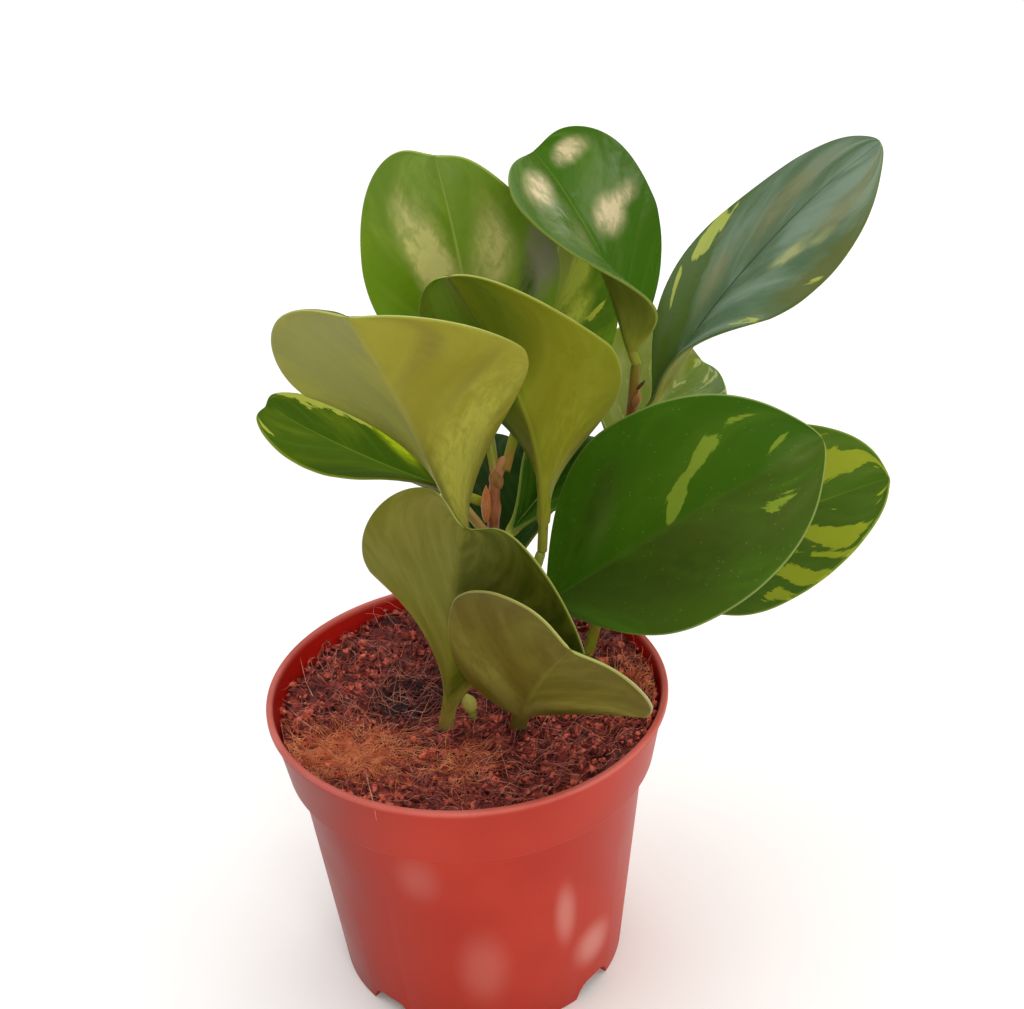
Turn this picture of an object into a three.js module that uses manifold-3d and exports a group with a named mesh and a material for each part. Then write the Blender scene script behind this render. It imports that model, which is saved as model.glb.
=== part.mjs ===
// A young potted peperomia: a thin plastic nursery pot, its coir soil, four stems and fifteen fleshy leaves.
// Millimetres, +Z up. The origin is the centre of the pot's base, on the plane that the pot stands on.
import * as THREE from "three";
import { mergeVertices } from "three/addons/utils/BufferGeometryUtils.js";
import Module from "manifold-3d";

const wasm = await Module();
wasm.setup();

// ---- Driving dimensions ----

const FIT_GAP = 0.3; // clearance between two pieces that touch

// Pot
const POT_HEIGHT = 84;
const RIM_RADIUS = 52.5;
const LIP_HEIGHT = 2;
const LIP_OVERHANG = 1;
const COLLAR_HEIGHT = 18.5;
const COLLAR_FOOT_RADIUS = 48.7;
const WALL_TOP_RADIUS = 46;
const BASE_RADIUS = 39;
const WALL = 1.2;
const FLOOR = 1.6;
const POT_SEGMENTS = 48;
const DRAIN_NOTCHES = 4;
const NOTCH_HEIGHT = 5;
const NOTCH_WIDTH = 14;
const FIRST_NOTCH = 49.5; // degrees round the pot from +X, seen from above

// Soil
const SOIL_LEVEL = 74.5; // in the middle of the pot
const SOIL_EDGE_RISE = 5.5; // how far the soil climbs towards the pot's wall
const SOIL_RIGHT_RISE = 2; // how much higher it lies at the right, and lower at the left
const SOIL_FRONT_RISE = 1.5; // how much higher it lies at the front and at the back
const SOIL_RELIEF = 0.5;
const HOLLOW_AT = [-18, 12];
const HOLLOW_RADIUS = 11;
const HOLLOW_DEPTH = 3;
const SOIL_SEGMENTS = 40;
const SOIL_RINGS = 9;
const FIBRES = 30;
const FIBRE_RADIUS = 0.45;
const STEM_DEPTH = 12; // how far a stem goes down into the soil

// Leaves
const PETIOLE_RADIUS = 1.3;
const BLADE_THICKNESS = 1.4;
const RIM_THICKNESS = 0.7;
const KEEL = 1; // how far the midrib stands out under the blade's base
const HALF_COLUMNS = 3; // strips on each side of a blade's midrib
const PETIOLE_STEPS = 3;
const BLADE_STEPS = 11;

// ---- Colours ----

const paint = (color, roughness) =>
  new THREE.MeshStandardMaterial({ color, roughness, metalness: 0 });
const potRed = paint(0xc0432f, 0.45);
const coir = paint(0x6e3423, 0.95);
const stemRed = paint(0x8c4a34, 0.6);
const shootGreen = paint(0x7f8f2f, 0.55);
const darkGreen = paint(0x2f6420, 0.3);
const brightGreen = paint(0x6a9a24, 0.3);
const paleGreen = paint(0xa4b46a, 0.4);
const streakedGreen = paint(0x7d9a3a, 0.35);

// ---- Shared steps ----

const radians = THREE.MathUtils.degToRad;

function solidOf(geometry) {
  const plain = geometry.clone();
  plain.deleteAttribute("normal");
  plain.deleteAttribute("uv");
  const merged = mergeVertices(plain, 1e-3);
  const corners = merged.index.array;
  const kept = [];
  for (let i = 0; i < corners.length; i += 3) {
    const [a, b, c] = corners.slice(i, i + 3);
    if (a !== b && b !== c && c !== a) kept.push(a, b, c);
  }
  return new wasm.Manifold(
    new wasm.Mesh({
      numProp: 3,
      vertProperties: merged.attributes.position.array,
      triVerts: new Uint32Array(kept),
    }),
  );
}

function geometryOf(solid) {
  const mesh = solid.getMesh();
  const geometry = new THREE.BufferGeometry();
  const points = Float32Array.from(mesh.vertProperties);
  geometry.setAttribute("position", new THREE.BufferAttribute(points, 3));
  geometry.setIndex(new THREE.BufferAttribute(Uint32Array.from(mesh.triVerts), 1));
  geometry.computeVertexNormals();
  return geometry;
}

function piece(name, solid, material) {
  const mesh = new THREE.Mesh(geometryOf(solid), material);
  mesh.name = name;
  return mesh;
}

// A lathe spins its profile about +Y, and the plant stands along +Z.
function turned(profile, segments) {
  const points = profile.map(([radius, height]) => new THREE.Vector2(radius, height));
  return new THREE.LatheGeometry(points, segments).rotateX(Math.PI / 2);
}

// The same random numbers on every run.
function seeded(seed) {
  let state = seed;
  return (low, high) => {
    state = (state * 1664525 + 1013904223) % 4294967296;
    return low + (high - low) * (state / 4294967296);
  };
}

// ---- Pot ----

const collarFoot = POT_HEIGHT - COLLAR_HEIGHT;
const wallTop = collarFoot - 1;
const collarTop = POT_HEIGHT - LIP_HEIGHT;
const collarTopRadius = RIM_RADIUS - LIP_OVERHANG;

function potSolid() {
  const outside = [
    [0, 0],
    [BASE_RADIUS - 0.8, 0],
    [BASE_RADIUS, 0.8],
    [WALL_TOP_RADIUS, wallTop],
    [COLLAR_FOOT_RADIUS - 0.4, collarFoot],
    [COLLAR_FOOT_RADIUS, collarFoot + 0.5],
    [collarTopRadius, collarTop],
    [RIM_RADIUS, collarTop + 0.3],
    [RIM_RADIUS, POT_HEIGHT - 0.5],
    [RIM_RADIUS - 0.5, POT_HEIGHT],
  ];
  const inside = [
    [RIM_RADIUS - 1.7, POT_HEIGHT],
    [collarTopRadius - WALL, collarTop - 0.5],
    [COLLAR_FOOT_RADIUS - WALL, collarFoot + 1.6],
    [WALL_TOP_RADIUS - WALL, collarFoot + 0.4],
    [BASE_RADIUS - WALL, FLOOR],
    [0, FLOOR],
  ];
  // An arched notch runs through the corner of the wall and the floor.
  const arch = new THREE.Shape();
  const foot = NOTCH_WIDTH / 2;
  arch.moveTo(-foot, -1);
  arch.lineTo(foot, -1);
  arch.quadraticCurveTo(foot * 0.8, NOTCH_HEIGHT, foot * 0.3, NOTCH_HEIGHT);
  arch.lineTo(-foot * 0.3, NOTCH_HEIGHT);
  arch.quadraticCurveTo(-foot * 0.8, NOTCH_HEIGHT, -foot, -1);
  const cutter = new THREE.ExtrudeGeometry(arch, { depth: 9, bevelEnabled: false, curveSegments: 3 })
    .rotateX(Math.PI / 2)
    .rotateZ(Math.PI / 2)
    .translate(BASE_RADIUS - 6, 0, 0);
  let pot = solidOf(turned([...outside, ...inside], POT_SEGMENTS));
  for (let i = 0; i < DRAIN_NOTCHES; i++) {
    const turn = radians(FIRST_NOTCH + (360 / DRAIN_NOTCHES) * i);
    pot = pot.subtract(solidOf(cutter.clone().rotateZ(turn)));
  }
  return pot;
}

// ---- Stems ----

// Each stem stands in the soil. `nodes` are the shares of its length where it swells under a leaf.
const BURIED = SOIL_LEVEL - STEM_DEPTH;
const stems = {
  middle_stem: {
    path: [
      [3.5, 14, BURIED], [4.5, 14, 76], [7.5, 13.5, 100],
      [9.2, 13.5, 125], [10.4, 15.4, 136], [13.2, 17, 142],
    ],
    radius: 1.8,
    nodes: [0.43, 0.54, 0.66, 0.82, 0.98],
    buds: [{ at: [7.6, 12.3, 131], length: 11, radius: 1.3, tilt: 3 }],
    material: stemRed,
  },
  right_stem: {
    path: [
      [31, 20, BURIED], [32.5, 20, 76], [37, 20, 95],
      [41, 19, 118], [44, 16.5, 142], [46.6, 14.5, 168],
    ],
    radius: 1.6,
    nodes: [0.38, 0.66, 0.77, 0.98],
    buds: [
      { at: [46.4, 13.6, 157.6], length: 5, radius: 1.1, tilt: 15 },
      { at: [47.6, 13.8, 161.4], length: 5, radius: 0.6, tilt: 40 },
    ],
    material: stemRed,
  },
  centre_shoot: {
    path: [
      [15, 8, BURIED], [15.2, 8, 76], [15.6, 8, 92],
      [16.5, 8.1, 99], [18.6, 8.3, 110], [21.3, 9.2, 118.5],
    ],
    radius: 1.6,
    nodes: [0.65, 0.98],
    buds: [],
    material: shootGreen,
  },
  front_shoot: {
    path: [[0.6, 0, BURIED], [0.8, -0.5, 71], [1, -1.5, 78]],
    radius: 1.4,
    nodes: [],
    buds: [{ at: [1, -1.6, 78], length: 7, radius: 2 }],
    material: shootGreen,
  },
};

// A stem is a turned profile laid along a curve. `grow` thickens it, to cut clearance in what it meets.
function stemSolid(stem, grow = 0) {
  const curve = new THREE.CatmullRomCurve3(stem.path.map((at) => new THREE.Vector3(...at)));
  const steps = 4 * (stem.path.length - 1);
  const radiusAt = (share) => {
    const swell = stem.nodes.reduce((most, at) => Math.max(most, 1 - Math.abs(share - at) / 0.05), 0);
    return stem.radius * (1 - 0.2 * share + 0.25 * swell) + grow;
  };
  const profile = [[0, 0]];
  for (let i = 0; i <= steps; i++) profile.push([radiusAt(i / steps), i / steps]);
  profile.push([0, 1]);
  const geometry = turned(profile, 10);
  const position = geometry.attributes.position;
  for (let i = 0; i < position.count; i++) {
    const share = THREE.MathUtils.clamp(position.getZ(i), 0, 1);
    const run = curve.getTangentAt(share);
    const left = new THREE.Vector3(0, 1, 0).cross(run).normalize();
    const front = run.clone().cross(left);
    const at = curve
      .getPointAt(share)
      .addScaledVector(left, position.getX(i))
      .addScaledVector(front, position.getY(i));
    position.setXYZ(i, at.x, at.y, at.z);
  }
  let solid = solidOf(geometry);
  for (const bud of stem.buds) {
    const egg = new THREE.SphereGeometry(bud.radius + grow, 8, 6)
      .rotateX(Math.PI / 2)
      .scale(1, 1, bud.length / 2 / bud.radius)
      .rotateY(radians(bud.tilt ?? 0))
      .translate(...bud.at);
    solid = solid.add(solidOf(egg));
  }
  return solid;
}

// ---- Leaves ----

// One row for each leaf, measured on the plant. A petiole leaves its stem, or the soil, at `from`. It sets out
// towards `heading` (from +X, seen from above) at `rise` above level, its face turned by `roll`, and rises by
// `lift` along its length. It reaches back by `root` into what it grows from. The blade then bends up by
// `bend`, to its right by `swing` and about its own run by `twist`. Where two values stand, they are the right
// and the left half's. `fold` and `curl` raise the halves at the midrib and towards the rim, and `gutter`
// raises both at the base. `widest` is the share of the length where a half is widest, `blunt` is how full it
// is at the tip, and `wedge` is how slender it is at the base. Lengths are in mm, and turns are in degrees.
const usual = { root: 2, widest: [0.57, 0.57], notch: 0.04, blunt: [2.2, 2.2], wedge: [1.15, 1.15] };
const leaves = {
  upper_left_leaf: {
    on: "middle_stem", from: [10.4, 16, 137.5], heading: 107, rise: 66, roll: -9, petiole: 15, lift: 8,
    length: 72, width: 51, bend: 30, swing: 0, twist: 40, fold: [2, -3], curl: [2, 0], gutter: 37,
    blunt: [1.5, 2.4], material: brightGreen,
  },
  top_leaf: {
    on: "right_stem", from: [46.5, 14.5, 167.3], root: 0.5, heading: 163, rise: 66, roll: 15, petiole: 3,
    lift: 12, length: 57, width: 53, bend: -29, swing: -2, twist: 45, fold: [7, 23], curl: [7, -8],
    gutter: 47, widest: [0.5, 0.6], notch: 0.04, blunt: [2.1, 2.6], wedge: [1.16, 0.89],
    material: darkGreen,
  },
  top_right_leaf: {
    on: "right_stem", from: [43.8, 16.3, 143.3], root: 0.5, heading: 30, rise: 44, roll: -14, petiole: 10,
    lift: 8, length: 86, width: 53, bend: -12, swing: 29, twist: 4, fold: [3, 0], curl: [-31, 0],
    gutter: 69, notch: -0.02, wedge: [1.62, 1.62], material: darkGreen,
  },
  big_left_leaf: {
    on: "middle_stem", from: [8, 11.5, 106.5], root: 5, heading: 235, rise: 61, roll: 22, petiole: 23,
    lift: 10, length: 96, width: 62, bend: -30, swing: -13, twist: 15, fold: [22, 17], curl: [-43, 5],
    gutter: 64, widest: [0.52, 0.64], notch: 0.01, blunt: [1.8, 1.5], wedge: [1.31, 1.06],
    material: darkGreen,
  },
  middle_leaf: {
    on: "centre_shoot", from: [21.4, 9.2, 118.9], root: 0.6, heading: 277, rise: 70, roll: -17,
    petiole: 8, lift: 10, length: 79, width: 52, bend: -15, swing: 34, twist: 33, fold: [13, 13],
    curl: [-20, 0], gutter: 98, widest: [0.62, 0.65], notch: 0, blunt: [2.3, 1.1], wedge: [1.24, 1.26],
    material: darkGreen,
  },
  far_left_leaf: {
    on: "middle_stem", from: [9.8, 14.6, 128.7], root: 0.5, heading: 164, rise: 20, roll: 4, petiole: 10,
    lift: -5, length: 57, width: 52, bend: 18, swing: -6, twist: -2, fold: [-5, 8], curl: [0, 0],
    gutter: 35, material: brightGreen,
  },
  lower_left_leaf: {
    on: "soil", from: [-6, -5.5, 75], root: 12, heading: 281, rise: 58, roll: -24, petiole: 4, lift: 0,
    length: 83, width: 64, bend: 26, swing: 9, twist: 29, fold: [19, 9], curl: [-20, -8], gutter: 83,
    widest: [0.54, 0.54], notch: 0.08, wedge: [1, 1], material: darkGreen,
  },
  front_leaf: {
    on: "soil", from: [12.7, -8.3, 76], root: 12, heading: 279, rise: 50, roll: -23, petiole: 14,
    lift: -2, length: 82, width: 53, bend: -4, swing: -8, twist: 14, fold: [11, 15], curl: [11, -21],
    gutter: -8, widest: [0.59, 0.5], notch: 0.06, blunt: [1.6, 1.6], wedge: [0.52, 0.87],
    material: darkGreen,
  },
  big_right_leaf: {
    on: "centre_shoot", from: [17.1, 8.1, 99.3], root: 0.3, heading: -18, rise: 41, roll: 50, petiole: 5,
    lift: 0, length: 87, width: 59, bend: -6, swing: 3, twist: -10, fold: [14, 21], curl: [8, 14],
    gutter: 18, widest: [0.52, 0.52], notch: -0.02, wedge: [1.2, 1.2], material: streakedGreen,
  },
  lower_right_leaf: {
    on: "right_stem", from: [38.5, 20, 97], heading: 14, rise: 20, roll: 54, petiole: 5, lift: 14,
    length: 80, width: 53, bend: 27, swing: 12, twist: 15, fold: [23, 22], curl: [15, 14], gutter: 20,
    widest: [0.5, 0.5], notch: 0.02, blunt: [2, 2], wedge: [1.1, 1.1], material: streakedGreen,
  },
  pale_back_leaf: {
    on: "right_stem", from: [41.5, 18.5, 128], heading: 80, rise: 10, roll: 26, petiole: 7, lift: -2,
    length: 51, width: 48, bend: 45, swing: 38, twist: 12, fold: [35, 21], curl: [13, 11], gutter: 30,
    widest: [0.6, 0.6], notch: 0.03, material: paleGreen,
  },
  upright_leaf: {
    on: "middle_stem", from: [13.8, 17, 141], root: 3, heading: 65, rise: 49, roll: 74, petiole: 12,
    lift: 6, length: 57, width: 44, bend: -1, swing: 6, twist: -6, fold: [7, 12], curl: [6, 7],
    gutter: 44, material: streakedGreen,
  },
  bright_middle_leaf: {
    on: "middle_stem", from: [9.2, 13.6, 116], root: 0.5, heading: 55, rise: 16, roll: 27, petiole: 7,
    lift: 1, length: 40, width: 35, bend: 12, swing: 4, twist: 2, fold: [31, 48], curl: [20, 15],
    gutter: 32, material: brightGreen,
  },
  small_left_leaf: {
    on: "middle_stem", from: [8.6, 13.8, 119], root: 0.5, heading: 122, rise: 20, roll: 5, petiole: 19,
    lift: -4, length: 44, width: 30, bend: -30, swing: -4, twist: 1, fold: [24, 22], curl: [14, 13],
    gutter: 28, material: brightGreen,
  },
  dark_middle_leaf: {
    on: "middle_stem", from: [7.1, 13.6, 97.5], root: 0.5, heading: 74, rise: 14, roll: -2, petiole: 4,
    lift: 1, length: 56, width: 48, bend: 19, swing: -4, twist: 0, fold: [32, 40], curl: [15, 16],
    gutter: 39, material: darkGreen,
  },
};

// A station holds a point of the midrib and the frame there: +X runs to the tip, +Y to the left of a walker on
// the upper side, and +Z out of the upper side. The frame turns evenly by `turn` over `length`.
function stationsAlong(start, length, turn, shares) {
  const axis = turn.clone().normalize();
  const frameAt = (share) =>
    start.frame.clone().multiply(new THREE.Quaternion().setFromAxisAngle(axis, turn.length() * share));
  const stations = [];
  let last = { point: start.point, share: 0 };
  for (const share of shares) {
    const run = new THREE.Vector3(1, 0, 0).applyQuaternion(frameAt((last.share + share) / 2));
    const point = last.point.clone().addScaledVector(run, length * (share - last.share));
    last = { point, share, frame: frameAt(share) };
    stations.push(last);
  }
  return stations;
}

// The width of one half of the blade as a share of its greatest width.
function outline(leaf, share, index) {
  const [widest, blunt, wedge] = [leaf.widest[index], leaf.blunt[index], leaf.wedge[index]];
  if (share < widest) return (1 - ((widest - share) / widest) ** 1.9) ** wedge;
  return Math.sqrt(1 - ((share - widest) / (1 - widest)) ** blunt);
}

// The points of one half of a section, from the midrib to the rim, on the upper and on the lower face.
function halfSection(station, { halfWidth, middle, rim, side, fold, curl, keel, pull }) {
  const angleAt = (v) => fold + curl * v;
  const rows = [];
  let across = 0;
  let up = 0;
  for (let i = 0; i <= HALF_COLUMNS; i++) {
    const v = i / HALF_COLUMNS;
    if (i > 0) {
      const slope = angleAt(v - 0.5 / HALF_COLUMNS);
      across += (Math.cos(slope) * halfWidth) / HALF_COLUMNS;
      up += (Math.sin(slope) * halfWidth) / HALF_COLUMNS;
    }
    const half = (rim + (middle - rim) * Math.sqrt(1 - v * v)) / 2;
    const lean = i > 0 && halfWidth > 0 ? angleAt(v) : 0;
    const pointAt = (out) =>
      new THREE.Vector3(
        -pull * Math.exp(-((v * halfWidth) ** 2) / 60),
        side * (across - Math.sin(lean) * out),
        up + Math.cos(lean) * out,
      )
        .applyQuaternion(station.frame)
        .add(station.point);
    rows.push({ upper: pointAt(half), lower: pointAt(-half - (i > 0 ? 0 : keel)) });
  }
  return rows;
}

function leafSolid(leaf, grow = 0) {
  const { from, root, heading, rise, roll, petiole, lift, length, width, bend, swing, twist } = leaf;
  const frame = new THREE.Quaternion().setFromEuler(
    new THREE.Euler(radians(roll), radians(-rise), radians(heading), "ZYX"),
  );
  const start = { point: new THREE.Vector3(...from), frame };
  const back = new THREE.Vector3(-root, 0, 0).applyQuaternion(frame).add(start.point);
  const petioleShares = Array.from({ length: PETIOLE_STEPS }, (_, i) => (i + 1) / PETIOLE_STEPS);
  const petioleTurn = new THREE.Vector3(0, -radians(lift) - 1e-6, 0);
  const stalk = stationsAlong(start, petiole, petioleTurn, petioleShares);
  // The stations stand closer towards the blunt tip.
  const bladeShares = Array.from({ length: BLADE_STEPS }, (_, i) => 1 - (1 - (i + 1) / BLADE_STEPS) ** 1.6);
  const bladeTurn = new THREE.Vector3(-radians(twist), -radians(bend), -radians(swing));
  const blade = stationsAlong(stalk.at(-1), length, bladeTurn, bladeShares);

  const thick = PETIOLE_RADIUS + grow;
  const round = { halfWidths: [thick, thick], middle: 2 * thick, rim: 0.6 };
  const stem = [{ point: back, frame }, start, ...stalk];
  const sections = stem.map((station) => ({ station, ...round, share: 0 }));
  for (const station of blade) {
    const { share } = station;
    const spread = THREE.MathUtils.smoothstep(share, 0, 0.12);
    const towardsTip = THREE.MathUtils.smoothstep(share, 0.85, 1);
    sections.push({
      station,
      share,
      halfWidths: [0, 1].map((index) =>
        share < 1 ? Math.max((width / 2) * outline(leaf, share, index), thick * (1 - share)) : 0,
      ),
      middle: THREE.MathUtils.lerp(
        THREE.MathUtils.lerp(round.middle, BLADE_THICKNESS, spread),
        RIM_THICKNESS,
        towardsTip,
      ),
      rim: RIM_THICKNESS,
    });
  }

  // Each section is a ring: the upper face from left rim to right rim, then the lower face the same way.
  const columns = 2 * HALF_COLUMNS + 1;
  const points = [];
  for (const { station, share, halfWidths, ...section } of sections) {
    const gutter = share > 0 ? leaf.gutter * (1 - share) ** 3 : 0;
    const spread = Math.min(1, 2.2 * share);
    const halves = [1, 0].map((index) =>
      halfSection(station, {
        ...section,
        halfWidth: halfWidths[index],
        side: index === 1 ? 1 : -1,
        fold: share > 0 ? radians(leaf.fold[index] + gutter) : 0,
        curl: radians(leaf.curl[index] * spread),
        keel: share > 0 ? KEEL * (1 - share) ** 1.5 * Math.min(1, share / 0.1) : 0,
        pull: leaf.notch * length * share ** 8,
      }),
    );
    const acrossRows = [...halves[0].toReversed(), ...halves[1].slice(1)];
    points.push(...acrossRows.map((row) => row.upper), ...acrossRows.map((row) => row.lower));
  }

  const corner = (ring, column, isLower) => ring * 2 * columns + column + (isLower ? columns : 0);
  const faces = [];
  const quad = (a, b, c, d) => faces.push(a, b, c, a, c, d);
  for (let i = 0; i + 1 < sections.length; i++) {
    for (let k = 0; k + 1 < columns; k++) {
      quad(corner(i, k), corner(i, k + 1), corner(i + 1, k + 1), corner(i + 1, k));
      faces.push(corner(i, k, true), corner(i + 1, k + 1, true), corner(i, k + 1, true));
      faces.push(corner(i, k, true), corner(i + 1, k, true), corner(i + 1, k + 1, true));
    }
    quad(corner(i, 0, true), corner(i, 0), corner(i + 1, 0), corner(i + 1, 0, true));
    const last = columns - 1;
    quad(corner(i, last), corner(i, last, true), corner(i + 1, last, true), corner(i + 1, last));
  }
  for (let k = 0; k + 1 < columns; k++) {
    quad(corner(0, k, true), corner(0, k + 1, true), corner(0, k + 1), corner(0, k));
  }
  const geometry = new THREE.BufferGeometry().setFromPoints(points);
  geometry.setIndex(faces);
  return solidOf(geometry);
}

// ---- Soil ----

const soilHeightAt = (x, y) => {
  const reach = Math.hypot(x, y) / RIM_RADIUS;
  const slope = (SOIL_RIGHT_RISE * x + SOIL_FRONT_RISE * Math.abs(y)) / RIM_RADIUS;
  const hollow = Math.hypot(x - HOLLOW_AT[0], y - HOLLOW_AT[1]) / HOLLOW_RADIUS;
  const crumbs =
    Math.sin(0.83 * x + 0.31 * y) + Math.sin(0.47 * y - 0.71 * x + 2) + Math.sin(1.07 * y + 0.2 * x + 4);
  const level = SOIL_LEVEL + SOIL_EDGE_RISE * reach ** 3 + slope - HOLLOW_DEPTH * Math.exp(-(hollow ** 2));
  return level + SOIL_RELIEF * crumbs * Math.min(1, 3 * reach);
};

// A coir fibre lies on the soil as a thin three-sided tube, with its ends sunk in.
function fibreSolid(draw) {
  const radius = RIM_RADIUS * 0.84 * Math.sqrt(draw(0, 1));
  const round = draw(0, 2 * Math.PI);
  const length = draw(10, 26);
  const heading = draw(0, 2 * Math.PI);
  const bow = draw(-0.25, 0.25) * length;
  const height = draw(0.4, 2.2);
  const centre = new THREE.Vector2(radius * Math.cos(round), radius * Math.sin(round));
  const run = new THREE.Vector2(Math.cos(heading), Math.sin(heading));
  const points = [-0.5, -0.25, 0, 0.25, 0.5].map((share) => {
    const arc = 1 - (2 * share) ** 2;
    const x = centre.x + run.x * share * length - run.y * bow * arc;
    const y = centre.y + run.y * share * length + run.x * bow * arc;
    const inside = Math.min(1, (RIM_RADIUS - 5) / Math.hypot(x, y));
    return new THREE.Vector3(
      x * inside,
      y * inside,
      soilHeightAt(x * inside, y * inside) - 0.8 + (height + 0.6) * arc,
    );
  });
  const section = new THREE.Shape();
  for (let i = 0; i < 3; i++) {
    const turn = (i * 2 * Math.PI) / 3;
    const corner = [FIBRE_RADIUS * Math.cos(turn), FIBRE_RADIUS * Math.sin(turn)];
    if (i === 0) section.moveTo(...corner);
    else section.lineTo(...corner);
  }
  const extrudePath = new THREE.CatmullRomCurve3(points);
  return solidOf(new THREE.ExtrudeGeometry(section, { steps: 4, extrudePath }));
}

function soilSolid() {
  const innerRadiusAt = (z) =>
    THREE.MathUtils.lerp(BASE_RADIUS, WALL_TOP_RADIUS, z / wallTop) - WALL - FIT_GAP;
  const collarRadiusAt = (z) => {
    const share = (z - collarFoot) / (collarTop - collarFoot);
    return THREE.MathUtils.lerp(COLLAR_FOOT_RADIUS, collarTopRadius, share) - WALL - FIT_GAP;
  };
  const edge = collarRadiusAt(SOIL_LEVEL - 3);
  const profile = [
    [0, FLOOR + FIT_GAP],
    [innerRadiusAt(FLOOR) - 0.2, FLOOR + FIT_GAP],
    [innerRadiusAt(collarFoot), collarFoot + 0.4],
    [COLLAR_FOOT_RADIUS - WALL - FIT_GAP - 0.2, collarFoot + 2],
    [edge, SOIL_LEVEL - 3],
  ];
  for (let i = SOIL_RINGS; i >= 0; i--) profile.push([(edge * i) / SOIL_RINGS, SOIL_LEVEL]);
  const geometry = turned(profile, SOIL_SEGMENTS);
  const position = geometry.attributes.position;
  for (let i = 0; i < position.count; i++) {
    if (position.getZ(i) < SOIL_LEVEL - 0.01) continue;
    const [x, y] = [position.getX(i), position.getY(i)];
    const height = soilHeightAt(x, y);
    // The outermost ring follows the pot's wall up.
    const out = Math.hypot(x, y) > edge - 0.01 ? collarRadiusAt(height) / edge : 1;
    position.setXYZ(i, x * out, y * out, height);
  }
  let soil = solidOf(geometry);
  const draw = seeded(7);
  for (let i = 0; i < FIBRES; i++) soil = soil.add(fibreSolid(draw));
  return soil;
}

// ---- Plant ----

const plant = new THREE.Group();
plant.add(piece("pot", potSolid(), potRed));

let soil = soilSolid();
for (const stem of Object.values(stems)) soil = soil.subtract(stemSolid(stem, FIT_GAP));
for (const leaf of Object.values(leaves)) {
  const row = { ...usual, ...leaf };
  if (row.on === "soil") soil = soil.subtract(leafSolid(row, FIT_GAP));
}
plant.add(piece("soil", soil, coir));

for (const [name, stem] of Object.entries(stems)) plant.add(piece(name, stemSolid(stem), stem.material));

for (const [name, leaf] of Object.entries(leaves)) {
  let solid = leafSolid({ ...usual, ...leaf });
  if (leaf.on !== "soil") solid = solid.subtract(stemSolid(stems[leaf.on], FIT_GAP));
  plant.add(piece(name, solid, leaf.material));
}

export default plant;
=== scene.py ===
import math
import random

import bmesh
import bpy
import numpy as np
from mathutils import Matrix, Vector, noise


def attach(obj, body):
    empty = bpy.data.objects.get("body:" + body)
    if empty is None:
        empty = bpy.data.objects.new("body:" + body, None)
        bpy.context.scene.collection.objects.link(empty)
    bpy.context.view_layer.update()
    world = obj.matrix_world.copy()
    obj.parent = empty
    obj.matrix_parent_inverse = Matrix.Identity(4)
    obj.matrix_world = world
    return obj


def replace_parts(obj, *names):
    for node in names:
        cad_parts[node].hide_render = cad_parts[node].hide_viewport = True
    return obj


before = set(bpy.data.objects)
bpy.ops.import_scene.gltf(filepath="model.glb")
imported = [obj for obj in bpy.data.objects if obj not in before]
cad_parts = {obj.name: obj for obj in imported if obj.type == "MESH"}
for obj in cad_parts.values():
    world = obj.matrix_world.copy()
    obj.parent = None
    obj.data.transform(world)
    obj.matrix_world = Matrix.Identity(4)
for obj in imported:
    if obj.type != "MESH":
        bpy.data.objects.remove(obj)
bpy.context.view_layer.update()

# ---- Camera ----
# It stands in front of the pot and looks down on the plant from about 29 degrees, with a slight roll.
# Its lens, place and tilt were worked out from the ellipses of the pot's rim, collar and foot.

MM = 0.001
camera_rise = math.radians(28.77)
camera_roll = math.radians(-2.95)
camera_distance = 419.4 * MM
camera_target = Vector((14.2, 0, 137.2)) * MM
camera_back = Vector((0, -math.cos(camera_rise), math.sin(camera_rise)))
level_right = Vector((1, 0, 0))
level_up = Vector((0, math.sin(camera_rise), math.cos(camera_rise)))
camera_right = level_right * math.cos(camera_roll) + level_up * math.sin(camera_roll)
camera_up = level_up * math.cos(camera_roll) - level_right * math.sin(camera_roll)
photo_lens = bpy.data.cameras.new("photo_lens")
photo_lens.lens = 59.77
photo_lens.sensor_width = 36
camera = bpy.data.objects.new("camera", photo_lens)
camera.matrix_world = Matrix((camera_right, camera_up, camera_back)).transposed().to_4x4()
camera.location = camera_target + camera_back * camera_distance
bpy.context.scene.collection.objects.link(camera)
bpy.context.scene.camera = camera

# ---- Pot ----
# A thin nursery pot, injection moulded in brick-red plastic, with a rolled lip, a deep collar, a tapered
# wall, and four drain notches through the corner of its wall and floor.

POT_TOP = 84
RIM_RADIUS = 52.5
TURN_STEPS = 180
DRAIN_NOTCHES = 4
NOTCH_HEIGHT = 5
NOTCH_WIDTH = 14
NOTCH_START = 33
NOTCH_DEPTH = 9
FIRST_NOTCH = 49.5
# Radius and height of each corner of the wall's section, and how far the corner is rounded.
pot_section = [
    (0, 0, 0),
    (38.8, 0, 0.5),
    (46, 64.5, 1.2),
    (48.6, 65.6, 0.5),
    (51.5, 82, 0.3),
    (RIM_RADIUS, 82.25, 0.3),
    (RIM_RADIUS, POT_TOP, 0.6),
    (50.9, POT_TOP, 0.5),
    (50.3, 81.5, 1.2),
    (47.5, 67.1, 0.8),
    (44.8, 65.9, 0.8),
    (37.8, 1.6, 0.5),
    (0, 1.6, 0),
]
# The inner wall's radius is INNER_FOOT plus INNER_LEAN of the height.
INNER_FOOT = 36.1
INNER_LEAN = 0.18
COLLAR_STEP = 65
pot_red = (170, 40, 21)
paler_red = (182, 52, 34)
# Painted shade for the left of the wall.
shaded_left_red = (114, 22, 10)
inner_red = (176, 22, 14)
foot_dust = (120, 50, 40)
soil_dust = (80, 24, 20)
# A painted highlight for the front of the wall.
highlight_pink = (212, 142, 132)
# A painted highlight for the lip.
lip_highlight = (216, 122, 112)
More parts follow.
